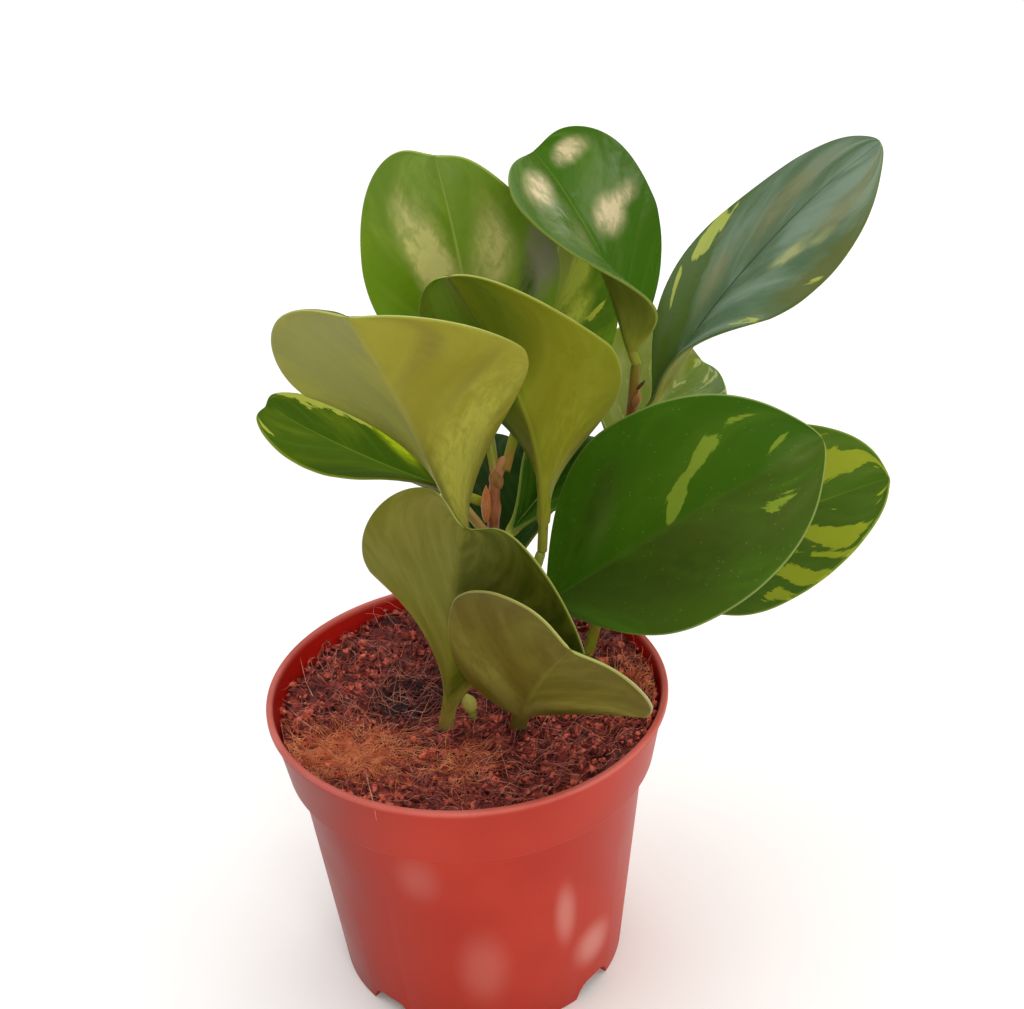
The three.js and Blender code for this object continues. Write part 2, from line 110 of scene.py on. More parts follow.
# Middle, half size and strength of each painted highlight on the front of the wall.
painted_pot_highlights = [
    ((-14, -43, 56), (6, 12, 8), 0.2),
    ((1, -41, 24), (7, 12, 14), 0.24),
    ((22.5, -36, 37), (3, 7, 12), 0.55),
    ((29, -27, 19), (6, 9, 8), 0.68),
]


def tint(red, green, blue):
    """A colour as the eye reads it, 0 to 255, as the linear value that a shader takes."""
    shares = [value / 255 for value in (red, green, blue)]
    return tuple(s / 12.92 if s <= 0.04045 else ((s + 0.055) / 1.055) ** 2.4 for s in shares) + (1.0,)


def join(tree, node, sockets):
    """Gives each of a node's sockets a value, or joins it to another node's output."""
    for socket, value in sockets.items():
        if isinstance(value, bpy.types.NodeSocket):
            tree.links.new(value, node.inputs[socket])
        else:
            node.inputs[socket].default_value = value


def put(tree, kind, sockets=None, **settings):
    """A new node with its settings made and its sockets joined."""
    node = tree.nodes.new(kind)
    for setting, value in settings.items():
        setattr(node, setting, value)
    join(tree, node, sockets or {})
    return node


def object_place(tree):
    return put(tree, "ShaderNodeTexCoord").outputs["Object"]


def split(tree, vector):
    return put(tree, "ShaderNodeSeparateXYZ", {0: vector}).outputs


def mixed(tree, share, first, second):
    """One colour laid over another where the share is 1. Each is a tint or another node's output."""
    under, over = [tint(*colour) if isinstance(colour, tuple) else colour for colour in (first, second)]
    return put(tree, "ShaderNodeMix", {0: share, 6: under, 7: over}, data_type="RGBA").outputs[2]


def layered(tree, colour, layers):
    """Lays further colours over the first, each where its share is 1."""
    for share, over in layers:
        colour = mixed(tree, share, colour, over)
    return colour


def maths(tree, operation, first, second=0.0, clamp=False):
    sockets = {0: first, 1: second}
    return put(tree, "ShaderNodeMath", sockets, operation=operation, use_clamp=clamp).outputs[0]


def times(tree, first, second, clamp=False):
    return maths(tree, "MULTIPLY", first, second, clamp)


def ramp(tree, value, low, high, start=0.0, end=1.0):
    """Runs smoothly from start to end while the value runs from low to high."""
    sockets = {"Value": value, "From Min": low, "From Max": high, "To Min": start, "To Max": end}
    return put(tree, "ShaderNodeMapRange", sockets, interpolation_type="SMOOTHSTEP").outputs["Result"]


def noise_of(tree, place, scale, detail=3.0, roughness=0.5, distortion=0.0):
    sockets = {"Vector": place, "Scale": scale, "Detail": detail, "Roughness": roughness}
    return put(tree, "ShaderNodeTexNoise", sockets | {"Distortion": distortion}).outputs["Fac"]


def distance_of(tree, place, middle, half_size=(1, 1, 1)):
    """How far a place lies from a middle, counted in half sizes."""
    off = put(tree, "ShaderNodeVectorMath", {0: place, 1: middle}, operation="SUBTRACT").outputs["Vector"]
    off = put(tree, "ShaderNodeVectorMath", {0: off, 1: half_size}, operation="DIVIDE").outputs["Vector"]
    return put(tree, "ShaderNodeVectorMath", {0: off}, operation="LENGTH").outputs["Value"]


def bumped(tree, height, strength, distance):
    sockets = {"Height": height, "Strength": strength, "Distance": distance}
    return put(tree, "ShaderNodeBump", sockets).outputs["Normal"]


def translucent(share, radius):
    """The sockets that let a little light into a skin, by the radius given for red, green and blue."""
    return {"Subsurface Weight": share, "Subsurface Radius": radius, "Subsurface Scale": 1.0}


def new_finish(name):
    """A material with only its shader, and the shader."""
    material = bpy.data.materials.new(name)
    material.use_nodes = True
    return material, material.node_tree, material.node_tree.nodes["Principled BSDF"]


def as_piece(name, shape, materials, smooth_below=None):
    """The finished bmesh as an object in the plant's own place, riding on its body."""
    mesh = bpy.data.meshes.new(name)
    shape.to_mesh(mesh)
    shape.free()
    for material in materials:
        mesh.materials.append(material)
    mesh.polygons.foreach_set("use_smooth", [True] * len(mesh.polygons))
    if smooth_below:
        mesh.set_sharp_from_angle(angle=math.radians(smooth_below))
    piece = bpy.data.objects.new(name, mesh)
    bpy.context.scene.collection.objects.link(piece)
    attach(piece, "root")
    return piece


def pot_plastic():
    material, tree, shader = new_finish("pot_plastic")
    place = object_place(tree)
    side, _, height = split(tree, place)
    cloud = noise_of(tree, place, 28, 4)
    specks = noise_of(tree, place, 900, 2)
    # Painted shade makes the wall a little darker towards the left, and it is dusty at its foot.
    colour = layered(tree, pot_red, [
        (ramp(tree, cloud, 0.35, 0.7), paler_red),
        (times(tree, ramp(tree, height, 0.0, 20 * MM, 0.35, 0.0), ramp(tree, specks, 0.5, 0.7)), foot_dust),
        (ramp(tree, side, -44 * MM, -10 * MM, 0.65, 0.0), shaded_left_red),
    ])
    # A few soft paler patches on the front of the wall are painted highlights.
    for middle, half_size, amount in painted_pot_highlights:
        far = distance_of(tree, place, Vector(middle) * MM, Vector(half_size) * MM)
        colour = mixed(tree, ramp(tree, far, 0.2, 1.3, amount, 0.0), colour, highlight_pink)
    # The inner wall is darker, with soil dust on it, and the lip is painted paler as a highlight.
    flat = put(tree, "ShaderNodeVectorMath", {0: place, 1: (1, 1, 0)}, operation="MULTIPLY")
    reach = distance_of(tree, flat.outputs["Vector"], (0, 0, 0))
    wall = maths(tree, "SUBTRACT", times(tree, height, INNER_LEAN), reach)
    inside = ramp(tree, wall, -INNER_FOOT * MM, (0.3 - INNER_FOOT) * MM)
    inner = times(tree, inside, ramp(tree, height, COLLAR_STEP * MM, (COLLAR_STEP + 0.5) * MM))
    dusty = times(tree, ramp(tree, height, 74.5 * MM, 83 * MM, 0.6, 0.0), ramp(tree, specks, 0.5, 0.66))
    lip = times(tree, ramp(tree, height, 82.3 * MM, 83.8 * MM), ramp(tree, cloud, 0.3, 0.7, 0.4, 0.8))
    dust = times(tree, dusty, inner)
    colour = layered(tree, colour, [(inner, inner_red), (dust, soil_dust), (lip, lip_highlight)])
    join(tree, shader, {
        "Base Color": colour,
        "Roughness": ramp(tree, cloud, 0.3, 0.7, 0.36, 0.48),
        "Specular IOR Level": 0.16,
        "Normal": bumped(tree, specks, 0.1, 0.2 * MM),
    } | translucent(0.12, (0.004, 0.001, 0.0006)))
    return material


def section_wire(shape, section):
    """The section of a turned piece as a wire, with each of its corners rounded."""
    corners = []
    for radius, height, rounding in section:
        corners.append((shape.verts.new((radius * MM, 0, height * MM)), rounding))
    for (first, _), (second, _) in zip(corners, corners[1:]):
        shape.edges.new((first, second))
    for corner, rounding in corners:
        if rounding:
            bmesh.ops.bevel(
                shape, geom=[corner], offset=rounding * MM, segments=4, profile=0.5,
                affect="VERTICES", material=-1,
            )


def turn_round(shape, steps):
    """Turns the wire once round the pot's axis into a closed skin that faces out."""
    wire = list(shape.verts) + list(shape.edges)
    bmesh.ops.spin(
        shape, geom=wire, cent=(0, 0, 0), axis=(0, 0, 1), angle=math.tau, steps=steps, use_merge=True,
    )
    bmesh.ops.remove_doubles(shape, verts=shape.verts, dist=0.01 * MM)
    bmesh.ops.recalc_face_normals(shape, faces=shape.faces)


turned_pot = bmesh.new()
section_wire(turned_pot, pot_section)
turn_round(turned_pot, TURN_STEPS)
pot = as_piece("nursery_pot", turned_pot, [pot_plastic()])

# Each notch is cut by an arch that stands across the wall, curved from below the foot to its flat top.
notch_cutters = bmesh.new()
half_notch = NOTCH_WIDTH / 2
arch_curve = [
    ((1 - t) ** 2 * half_notch + 2 * t * (1 - t) * half_notch * 0.8 + t * t * half_notch * 0.3,
     -(1 - t) ** 2 + 2 * t * (1 - t) * NOTCH_HEIGHT + t * t * NOTCH_HEIGHT)
    for t in (0, 0.2, 0.4, 0.6, 0.8, 1)
]
arch = arch_curve + [(-side, height) for side, height in reversed(arch_curve)]
for number in range(DRAIN_NOTCHES):
    corners = [notch_cutters.verts.new((NOTCH_START * MM, side * MM, height * MM)) for side, height in arch]
    front = notch_cutters.faces.new(corners)
    block = bmesh.ops.extrude_face_region(notch_cutters, geom=[front])
    far_end = [part for part in block["geom"] if isinstance(part, bmesh.types.BMVert)]
    bmesh.ops.translate(notch_cutters, verts=far_end, vec=(NOTCH_DEPTH * MM, 0, 0))
    turn = Matrix.Rotation(math.radians(FIRST_NOTCH + 360 / DRAIN_NOTCHES * number), 3, "Z")
    bmesh.ops.rotate(notch_cutters, verts=corners + far_end, cent=(0, 0, 0), matrix=turn)
bmesh.ops.recalc_face_normals(notch_cutters, faces=notch_cutters.faces)
cutter_mesh = bpy.data.meshes.new("notch_cutters")
notch_cutters.to_mesh(cutter_mesh)
notch_cutters.free()
cutters = bpy.data.objects.new("notch_cutters", cutter_mesh)
bpy.context.scene.collection.objects.link(cutters)
notching = pot.modifiers.new("drain_notches", "BOOLEAN")
notching.object = cutters
notching.operation = "DIFFERENCE"
notching.solver = "EXACT"
bpy.context.view_layer.update()
notched = bpy.data.meshes.new_from_object(pot.evaluated_get(bpy.context.evaluated_depsgraph_get()))
pot.modifiers.clear()
pot.data = notched
pot.data.set_sharp_from_angle(angle=math.radians(35))
bpy.data.objects.remove(cutters)
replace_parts(pot, "pot")

# ---- Soil ----
# Coir and peat, poured loose: a dark bed, crumbs of peat and chopped husk on it, and coir fibres that lie
# and stand in all directions. A mat of orange fibres lies at the front left.

SOIL_LEVEL = 74.5
SOIL_EDGE = 48.3
BED_RINGS = 60
CRUMBS = 3000
CRUMB_REACH = 49.6
FIBRE_REACH = 47
FIBRE_LIMIT = 49
FIBRE_STEPS = 7
# The painted shade in the hollow behind the leaves: its middle and its colour.
hollow_shade_middle = Vector((-15, 10, 74))
hollow_shade_black = (30, 8, 12)


def soil_height(x, y):
    """Height of the soil in mm. It climbs to the wall, and is hollow behind the leaves."""
    reach = math.hypot(x, y) / RIM_RADIUS
    slope = (2 * x + 1.5 * abs(y)) / RIM_RADIUS
    hollow = math.hypot(x + 18, y - 12) / 11
    lumps = math.sin(0.83 * x + 0.31 * y) + math.sin(0.47 * y - 0.71 * x + 2)
    lumps += math.sin(1.07 * y + 0.2 * x + 4)
    level = SOIL_LEVEL + 5.5 * reach ** 3 + slope - 3 * math.exp(-hollow ** 2)
    return level + 0.5 * lumps * min(1, 3 * reach)


def wall_reach(height):
    """Inner radius of the collar at a height, less the soil's clearance."""
    return 47.2 + (height - 65.5) * 0.1697


def soil_finish(name, dark, light, scale):
    material, tree, shader = new_finish(name)
    place = object_place(tree)
    grains = noise_of(tree, place, scale, 2, 0.6)
    broad = noise_of(tree, place, 120, 2)
    # Painted shade makes it almost black in the hollow behind the leaves.
    hollow_shade = ramp(tree, distance_of(tree, place, hollow_shade_middle * MM), 7 * MM, 18 * MM, 0.95, 0.0)
    colour = layered(tree, dark, [
        (ramp(tree, grains, 0.38, 0.64), light),
        (ramp(tree, broad, 0.42, 0.6, 0.0, 0.4), dark),
        (hollow_shade, hollow_shade_black),
    ])
    join(tree, shader, {
        "Base Color": colour,
        "Roughness": 0.6,
        "Specular IOR Level": 0.4,
        "Normal": bumped(tree, noise_of(tree, place, 1500, 3), 0.6, 0.4 * MM),
    })
    return material


soil_section = [(0, 1.9, 0), (37.3, 1.9, 0), (44.3, 65.9, 0), (47, 67.5, 0), (SOIL_EDGE - 0.4, 71.5, 0)]
soil_section += [(SOIL_EDGE * ring / BED_RINGS, SOIL_LEVEL, 0) for ring in range(BED_RINGS, -1, -1)]
soil_bed = bmesh.new()
section_wire(soil_bed, soil_section)
turn_round(soil_bed, TURN_STEPS)
for point in soil_bed.verts:
    if point.co.z > (SOIL_LEVEL - 0.1) * MM:
        x, y = point.co.x / MM, point.co.y / MM
        coarse = noise.noise(Vector((x, y, 3)) / 3.2)
        fine = noise.noise(Vector((x, y, 9)) / 1.1)
        height = soil_height(x, y) - 0.4 + 1.1 * coarse + 0.45 * fine
        spread = wall_reach(height) / SOIL_EDGE if math.hypot(x, y) > SOIL_EDGE - 0.1 else 1
        point.co = (x * spread * MM, y * spread * MM, height * MM)
peat = soil_finish("peat", (58, 13, 15), (158, 58, 48), 420)
bed = as_piece("soil_bed", soil_bed, [peat])
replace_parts(bed, "soil")

crumb_dice = random.Random(11)
soil_crumbs = bmesh.new()
for _ in range(CRUMBS):
    reach = CRUMB_REACH * math.sqrt(crumb_dice.random())
    turn = crumb_dice.uniform(0, math.tau)
    x, y = reach * math.cos(turn), reach * math.sin(turn)
    size = 0.4 + 1.15 * crumb_dice.random() ** 2.2
    place = Matrix.Translation(Vector((x, y, soil_height(x, y) + crumb_dice.uniform(-0.2, 0.9))) * MM)
    spin_turn = crumb_dice.uniform(0, math.tau)
    spin = Matrix.Rotation(spin_turn, 4, Vector((crumb_dice.random(), crumb_dice.random(), 0.4)))
    squash = Matrix.Diagonal((1, crumb_dice.uniform(0.5, 1), crumb_dice.uniform(0.4, 0.8), 1))
    laid = place @ spin @ squash
    crumb = bmesh.ops.create_icosphere(soil_crumbs, subdivisions=1, radius=size * MM, matrix=laid)
    for point in crumb["verts"]:
        point.co += Vector([crumb_dice.uniform(-0.2, 0.2) * size * MM for _ in range(3)])
husk = soil_finish("husk_crumbs", (92, 22, 22), (236, 114, 90), 460)
as_piece("soil_crumbs", soil_crumbs, [husk], smooth_below=30)


def fibre_finish(name, dark, light):
    material, tree, shader = new_finish(name)
    mottle = noise_of(tree, object_place(tree), 260, 2)
    colour = mixed(tree, ramp(tree, mottle, 0.35, 0.65), dark, light)
    join(tree, shader, {"Base Color": colour, "Roughness": 0.6})
    return material


def fibre_piece(name, lines, thickness, finish):
    """Round fibres through each line's points, thinner towards their ends."""
    strands = bpy.data.curves.new(name, "CURVE")
    strands.dimensions = "3D"
    strands.bevel_depth = thickness * MM
    strands.bevel_resolution = 0
    strands.use_fill_caps = True
    for line in lines:
        strand = strands.splines.new("POLY")
        strand.points.add(len(line) - 1)
        for step, at in enumerate(line):
            strand.points[step].co = (at[0] * MM, at[1] * MM, at[2] * MM, 1)
            strand.points[step].radius = 1 - 0.55 * step / (len(line) - 1)
    laid = bpy.data.objects.new(name, strands)
    mesh = bpy.data.meshes.new_from_object(laid)
    bpy.data.objects.remove(laid)
    shape = bmesh.new()
    shape.from_mesh(mesh)
    bpy.data.meshes.remove(mesh)
    as_piece(name, shape, [finish])


def coir_fibres(name, count, seed, finish, thickness, length, lift, spot=None):
    """Loose fibres strewn over the soil, or over one spot of it given as x, y and half widths."""
    dice = random.Random(seed)
    lines = []
    for _ in range(count):
        if spot:
            x = spot[0] + spot[2] * dice.gauss(0, 0.5)
            y = spot[1] + spot[3] * dice.gauss(0, 0.5)
        else:
            reach = FIBRE_REACH * math.sqrt(dice.random())
            turn = dice.uniform(0, math.tau)
            x, y = reach * math.cos(turn), reach * math.sin(turn)
        heading = dice.uniform(0, math.tau)
        bow = dice.gauss(0, 0.06)
        long = dice.uniform(*length)
        rise = dice.uniform(-0.1, 1) ** 3 * lift
        base = dice.uniform(-0.3, 0.9)
        line = []
        for step in range(FIBRE_STEPS + 1):
            share = step / FIBRE_STEPS
            inside = min(1, FIBRE_LIMIT / max(1, math.hypot(x, y)))
            arch = base + rise * share ** 1.4 + 0.5 * math.sin(math.pi * share)
            line.append((x * inside, y * inside, soil_height(x * inside, y * inside) + arch))
            heading += bow + dice.gauss(0, 0.05)
            x += math.cos(heading) * long / FIBRE_STEPS
            y += math.sin(heading) * long / FIBRE_STEPS
        lines.append(line)
    fibre_piece(name, lines, thickness, finish)


dark_coir = fibre_finish("dark_coir", (110, 36, 34), (176, 84, 72))
pale_coir = fibre_finish("pale_coir", (190, 100, 86), (228, 160, 138))
orange_coir = fibre_finish("orange_coir", (206, 100, 58), (240, 154, 100))
coir_fibres("dark_fibres", 1000, 21, dark_coir, 0.14, (4, 13), 4)
coir_fibres("pale_fibres", 470, 22, pale_coir, 0.08, (6, 17), 7)
coir_fibres("orange_fibres", 850, 23, orange_coir, 0.09, (5, 15), 4, spot=(-31, -17, 15, 11))
coir_fibres("front_fibres", 150, 24, orange_coir, 0.09, (5, 13), 4, spot=(-1, -24, 5, 9))
coir_fibres("right_fibres", 280, 25, orange_coir, 0.09, (5, 12), 3.5, spot=(42, -1, 7, 13))
# A few long fibres lean on the wall, stand up at the right, and hang over the rim.
fibre_piece("lone_fibres", [
    [(-41.6, 7.8, 77.5), (-43.5, 11.5, 79.5), (-44.6, 15.5, 81), (-45.6, 20, 82)],
    [(-25.4, -27, 79), (-24.6, -35, 83.2), (-23.2, -43.5, 85.6), (-22.4, -46.7, 84.4), (-22, -47.2, 79)],
    [(43.8, 7.6, 77), (42.6, 8.8, 82), (41.4, 9.8, 86), (40, 10.5, 90)],
    [(41.7, -8, 77), (41.2, -6, 81), (40.4, -4.5, 84)],
    [(-39, -9, 78), (-43.5, -6, 80), (-47, -2.5, 82)],
    [(36, -26, 78), (39.5, -28.5, 81), (43.5, -30.5, 83)],
], 0.12, pale_coir)

# ---- Stems ----
# Three fleshy stems and a short new shoot stand in the soil. Each is a smooth reddish or green tube that
# swells to a knuckle where a leaf leaves it, with short bud scales on it.

STEM_ALONG = 110
STEM_AROUND = 20


def stem_line(path, count):
    """Evenly spaced points of a smooth curve through the path's points, in mm."""
    given = [Vector(point) for point in path]
    ends = [given[0] * 2 - given[1]] + given + [given[-1] * 2 - given[-2]]
    steps = 24
    curve = []
    for before, first, second, after in zip(ends, ends[1:], ends[2:], ends[3:]):
        spans = (first - before, second - first, after - second)
        near, here, far = [max(span.length, 1e-6) ** 0.5 for span in spans]
        leave = (first - before) / near - (second - before) / (near + here) + (second - first) / here
        arrive = (second - first) / here - (after - first) / (here + far) + (after - second) / far
        leave, arrive = leave * here, arrive * here
        for t in (step / steps for step in range(steps)):
            curve.append(first * (2 * t ** 3 - 3 * t ** 2 + 1) + second * (3 * t ** 2 - 2 * t ** 3)
                         + leave * (t ** 3 - 2 * t ** 2 + t) + arrive * (t ** 3 - t ** 2))
    curve = np.array(curve + [given[-1]])
    run = np.concatenate([[0], np.cumsum(np.linalg.norm(np.diff(curve, axis=0), axis=1))])
    wanted = np.linspace(0, run[-1], count)
    return np.stack([np.interp(wanted, run, curve[:, axis]) for axis in range(3)], axis=1)


def stem_skin(name, low, high, joint, fleck, tip):
    """Its tints at the soil and further up, at the joints, in the fine flecks and at the very tip."""
    material, tree, shader = new_finish(name)
    spot = put(tree, "ShaderNodeAttribute", attribute_name="stem_spot").outputs["Vector"]
    share, _, near_joint = split(tree, spot)
    stretched = put(tree, "ShaderNodeMapping", {"Vector": object_place(tree), "Scale": (1, 1, 0.25)})
    fibre = noise_of(tree, stretched.outputs[0], 900, 3)
    colour = layered(tree, low, [
        (ramp(tree, share, 0.25, 0.8), high),
        (ramp(tree, fibre, 0.42, 0.62, 0.0, 0.45), fleck),
        (near_joint, joint),
        (ramp(tree, share, 0.82, 0.99), tip),
    ])
    join(tree, shader, {
        "Base Color": colour,
        "Roughness": 0.42,
        "Specular IOR Level": 0.2,
        "Normal": bumped(tree, fibre, 0.35, 0.3 * MM),
    } | translucent(0.05, (0.003, 0.0015, 0.0005)))
    return material


def fleshy_stem(name, node, path, radius, joints, skin):
    """A grid rolled into a tube along the stem's line, closed at both ends and swollen at its joints."""
    line = stem_line(path, STEM_ALONG - 1)
    last = STEM_ALONG - 2
    tube = bmesh.new()
    bmesh.ops.create_grid(tube, x_segments=STEM_ALONG, y_segments=STEM_AROUND, size=0.5)
    spot = tube.verts.layers.float_vector.new("stem_spot")
    for point in tube.verts:
        ring = min(last, max(0, round((point.co.x + 0.5) * STEM_ALONG) - 1))
        turn = (point.co.y + 0.5) * math.tau
        share = ring / last
        closed = point.co.x < -0.499 or point.co.x > 0.499
        near = max((math.exp(-((share - joint) / 0.028) ** 2) for joint in joints), default=0)
        ridge = max((math.exp(-((share - joint - 0.012) / 0.006) ** 2) for joint in joints), default=0)
        thick = radius * (1 - 0.2 * share + 0.25 * near + 0.06 * ridge + 0.02 * math.sin(5 * turn))
        thick *= math.sqrt(1 - 0.97 * max(0, (share - 0.97) / 0.03) ** 2)
        run = Vector(line[min(ring + 1, last)]) - Vector(line[max(ring - 1, 0)])
        left = Vector((0, 1, 0)).cross(run).normalized()
        front = run.cross(left).normalized()
        out = left * math.cos(turn) + front * math.sin(turn)
        centre = Vector(line[ring])
        point[spot] = (share, 0, near)
        point.co = (centre if closed else centre + out * thick) * MM
    bmesh.ops.remove_doubles(tube, verts=tube.verts, dist=0.01 * MM)
    bmesh.ops.recalc_face_normals(tube, faces=tube.faces)
    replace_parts(as_piece(name, tube, [skin]), node)


def bud_scale(name, at, length, radius, tilt, skin, point_up=0.6):
    """A small pointed scale or bud pressed against a stem."""
    bud = bmesh.new()
    bmesh.ops.create_uvsphere(bud, u_segments=20, v_segments=16, radius=1)
    for point in bud.verts:
        thick = radius * (1 - point_up * max(0, point.co.z) ** 2)
        point.co = Vector((point.co.x * thick, point.co.y * thick, point.co.z * length / 2))
    leaned = Matrix.Rotation(math.radians(tilt), 3, "Y")
    bmesh.ops.rotate(bud, verts=bud.verts, cent=(0, 0, 0), matrix=leaned)
    bmesh.ops.translate(bud, verts=bud.verts, vec=at)
    bmesh.ops.scale(bud, verts=bud.verts, vec=(MM, MM, MM))
    as_piece(name, bud, [skin])


red_stem = stem_skin(
    "red_stem", (136, 96, 46), (124, 62, 36), (160, 98, 62), (176, 116, 74), (176, 122, 80),
)
olive_stem = stem_skin(
    "olive_stem", (128, 150, 36), (138, 76, 34), (180, 116, 76), (168, 104, 62), (124, 112, 36),
)
green_stem = stem_skin(
    "green_stem", (120, 134, 52), (132, 150, 62), (160, 172, 84), (150, 166, 80), (140, 150, 60),
)
dry_scale = stem_skin(
    "dry_scale", (184, 110, 60), (206, 148, 84), (176, 104, 60), (208, 154, 92), (226, 188, 130),
)
dead_scale = stem_skin(
    "dead_scale", (70, 44, 34), (30, 24, 24), (60, 40, 30), (96, 62, 44), (30, 24, 24),
)
pale_bud = stem_skin(
    "pale_bud", (176, 174, 84), (176, 174, 84), (150, 150, 56), (176, 174, 84), (176, 174, 84),
)

fleshy_stem(
    "middle_stem_skin", "middle_stem",
    [(3.5, 14, 62.5), (4.5, 14, 76), (7.5, 13.5, 100), (9.2, 13.5, 125), (10.4, 15.4, 136), (13.2, 17, 142)],
    1.8, [0.43, 0.54, 0.66, 0.82], red_stem,
)
bud_scale("middle_knuckle", (10.5, 15.3, 136.3), 6, 1.9, -8, red_stem, point_up=0.3)
bud_scale("middle_stipule", (7.6, 12.3, 131), 11, 1.3, 3, dry_scale)

fleshy_stem(
    "right_stem_skin", "right_stem",
    [(31, 20, 62.5), (32.5, 20, 76), (37, 20, 95), (41, 19, 118), (44, 16.5, 142), (46.6, 14.5, 168)],
    1.6, [0.38, 0.66, 0.77], olive_stem,
)
bud_scale("right_bud", (46.4, 13.6, 157.6), 5, 1.1, 15, red_stem)
bud_scale("right_dead_tip", (47.6, 13.8, 161.4), 3.4, 0.45, 40, dead_scale)

fleshy_stem(
    "centre_shoot_skin", "centre_shoot",
    [(15, 8, 62.5), (15.2, 8, 76), (15.6, 8, 92), (16.5, 8.1, 99), (18.6, 8.3, 110), (21.3, 9.2, 118.5)],
    1.6, [0.65], green_stem,
)

fleshy_stem(
    "front_shoot_skin", "front_shoot", [(0.6, 0, 62.5), (0.8, -0.5, 71), (1, -1.5, 78)], 1.4, [], green_stem,
)
bud_scale("front_bud", (0.3, -1.7, 79.4), 6, 2, -12, pale_bud, point_up=0.45)

# ---- Leaves ----
# Thick, waxy leaves on round petioles. The upper side is glossy green, on most leaves streaked or blotched
# with yellow along the side veins. The underside is matt olive, with a keeled midrib, and the rim is pale.

PETIOLE_RADIUS = 1.3
BLADE_THICKNESS = 1.4
RIM_THICKNESS = 0.7
KEEL = 1
VEINS = 6
VEIN_LEAN = 0.4
LEAF_ALONG = 88
LEAF_AROUND = 88
PETIOLE_RINGS = 10
FOLD_STEPS = 60
CREASE = 0.6
RIPPLE = 0.25
VEIN_SHARE = 0.08
PETIOLE_GREEN = (138, 142, 44)
PETIOLE_FOOT = (164, 108, 66)
BACK_DOTS = (50, 44, 14)
LEAF_DEPTH = (0.0012, 0.0018, 0.0003)


def eased(value, low, high):
    share = min(1, max(0, (value - low) / (high - low)))
    return share * share * (3 - 2 * share)


def leaf_rings(petiole, lift, length, bend, swing, twist, start, root, foot):
    """Each ring's share of the blade, centre and turned frame, from the petiole's foot to the tip."""
    rings = [(-(petiole + root) / length, foot - start @ Vector((root, 0, 0)), start)] * 2
    rings.append((-petiole / length, foot, start))

    def follow(begin, frame_at_start, reach, turn, shares, as_share):
        at, last = begin, 0
        for share in shares:
            middle = (last + share) / 2
            halfway = frame_at_start @ Matrix.Rotation(turn.length * middle, 3, turn.normalized())
            at = at + halfway @ Vector((1, 0, 0)) * reach * (share - last)
            turned = frame_at_start @ Matrix.Rotation(turn.length * share, 3, turn.normalized())
            rings.append((as_share(share), at, turned))
            last = share
        return at, turned

    steps = PETIOLE_RINGS
    lifting = Vector((0, -math.radians(lift) - 1e-6, 0))
    shares = [(step + 1) / steps for step in range(steps)]
    at, turned = follow(foot, start, petiole, lifting, shares, lambda share: (share - 1) * petiole / length)
    steps = LEAF_ALONG - 2 - PETIOLE_RINGS
    turning = Vector((-math.radians(twist), -math.radians(bend), -math.radians(swing)))
    shares = [1 - (1 - (step + 1) / steps) ** 1.6 for step in range(steps)]
    follow(at, turned, length, turning, shares, lambda share: share)
    return rings


def half_width_at(share, width, widest, blunt, wedge, stalk):
    """Half the blade's width at a share of its length: wedge narrows its base, and blunt rounds its tip."""
    if share < widest:
        part = (1 - ((widest - share) / widest) ** 1.9) ** wedge
    else:
        part = math.sqrt(max(0, 1 - ((share - widest) / (1 - widest)) ** blunt))
    return max(width / 2 * part, stalk * (1 - share)) if share < 0.9999 else 0


def folded_half(reach, half_width, fold, curl):
    """Way out, way up and lean at each reach over half a section, folded at the rib, curled to the rim."""
    steps = np.linspace(0, 1, FOLD_STEPS + 1)
    middles = (steps[1:] + steps[:-1]) / 2
    slope = fold * (1 - np.exp(-(middles * half_width / CREASE) ** 2)) + curl * middles
    run_out = np.concatenate([[0], np.cumsum(np.cos(slope))]) * half_width / FOLD_STEPS
    run_up = np.concatenate([[0], np.cumsum(np.sin(slope))]) * half_width / FOLD_STEPS
    lean = fold * (1 - np.exp(-(reach * half_width / CREASE) ** 2)) + curl * reach
    return np.interp(reach, steps, run_out), np.interp(reach, steps, run_up), lean


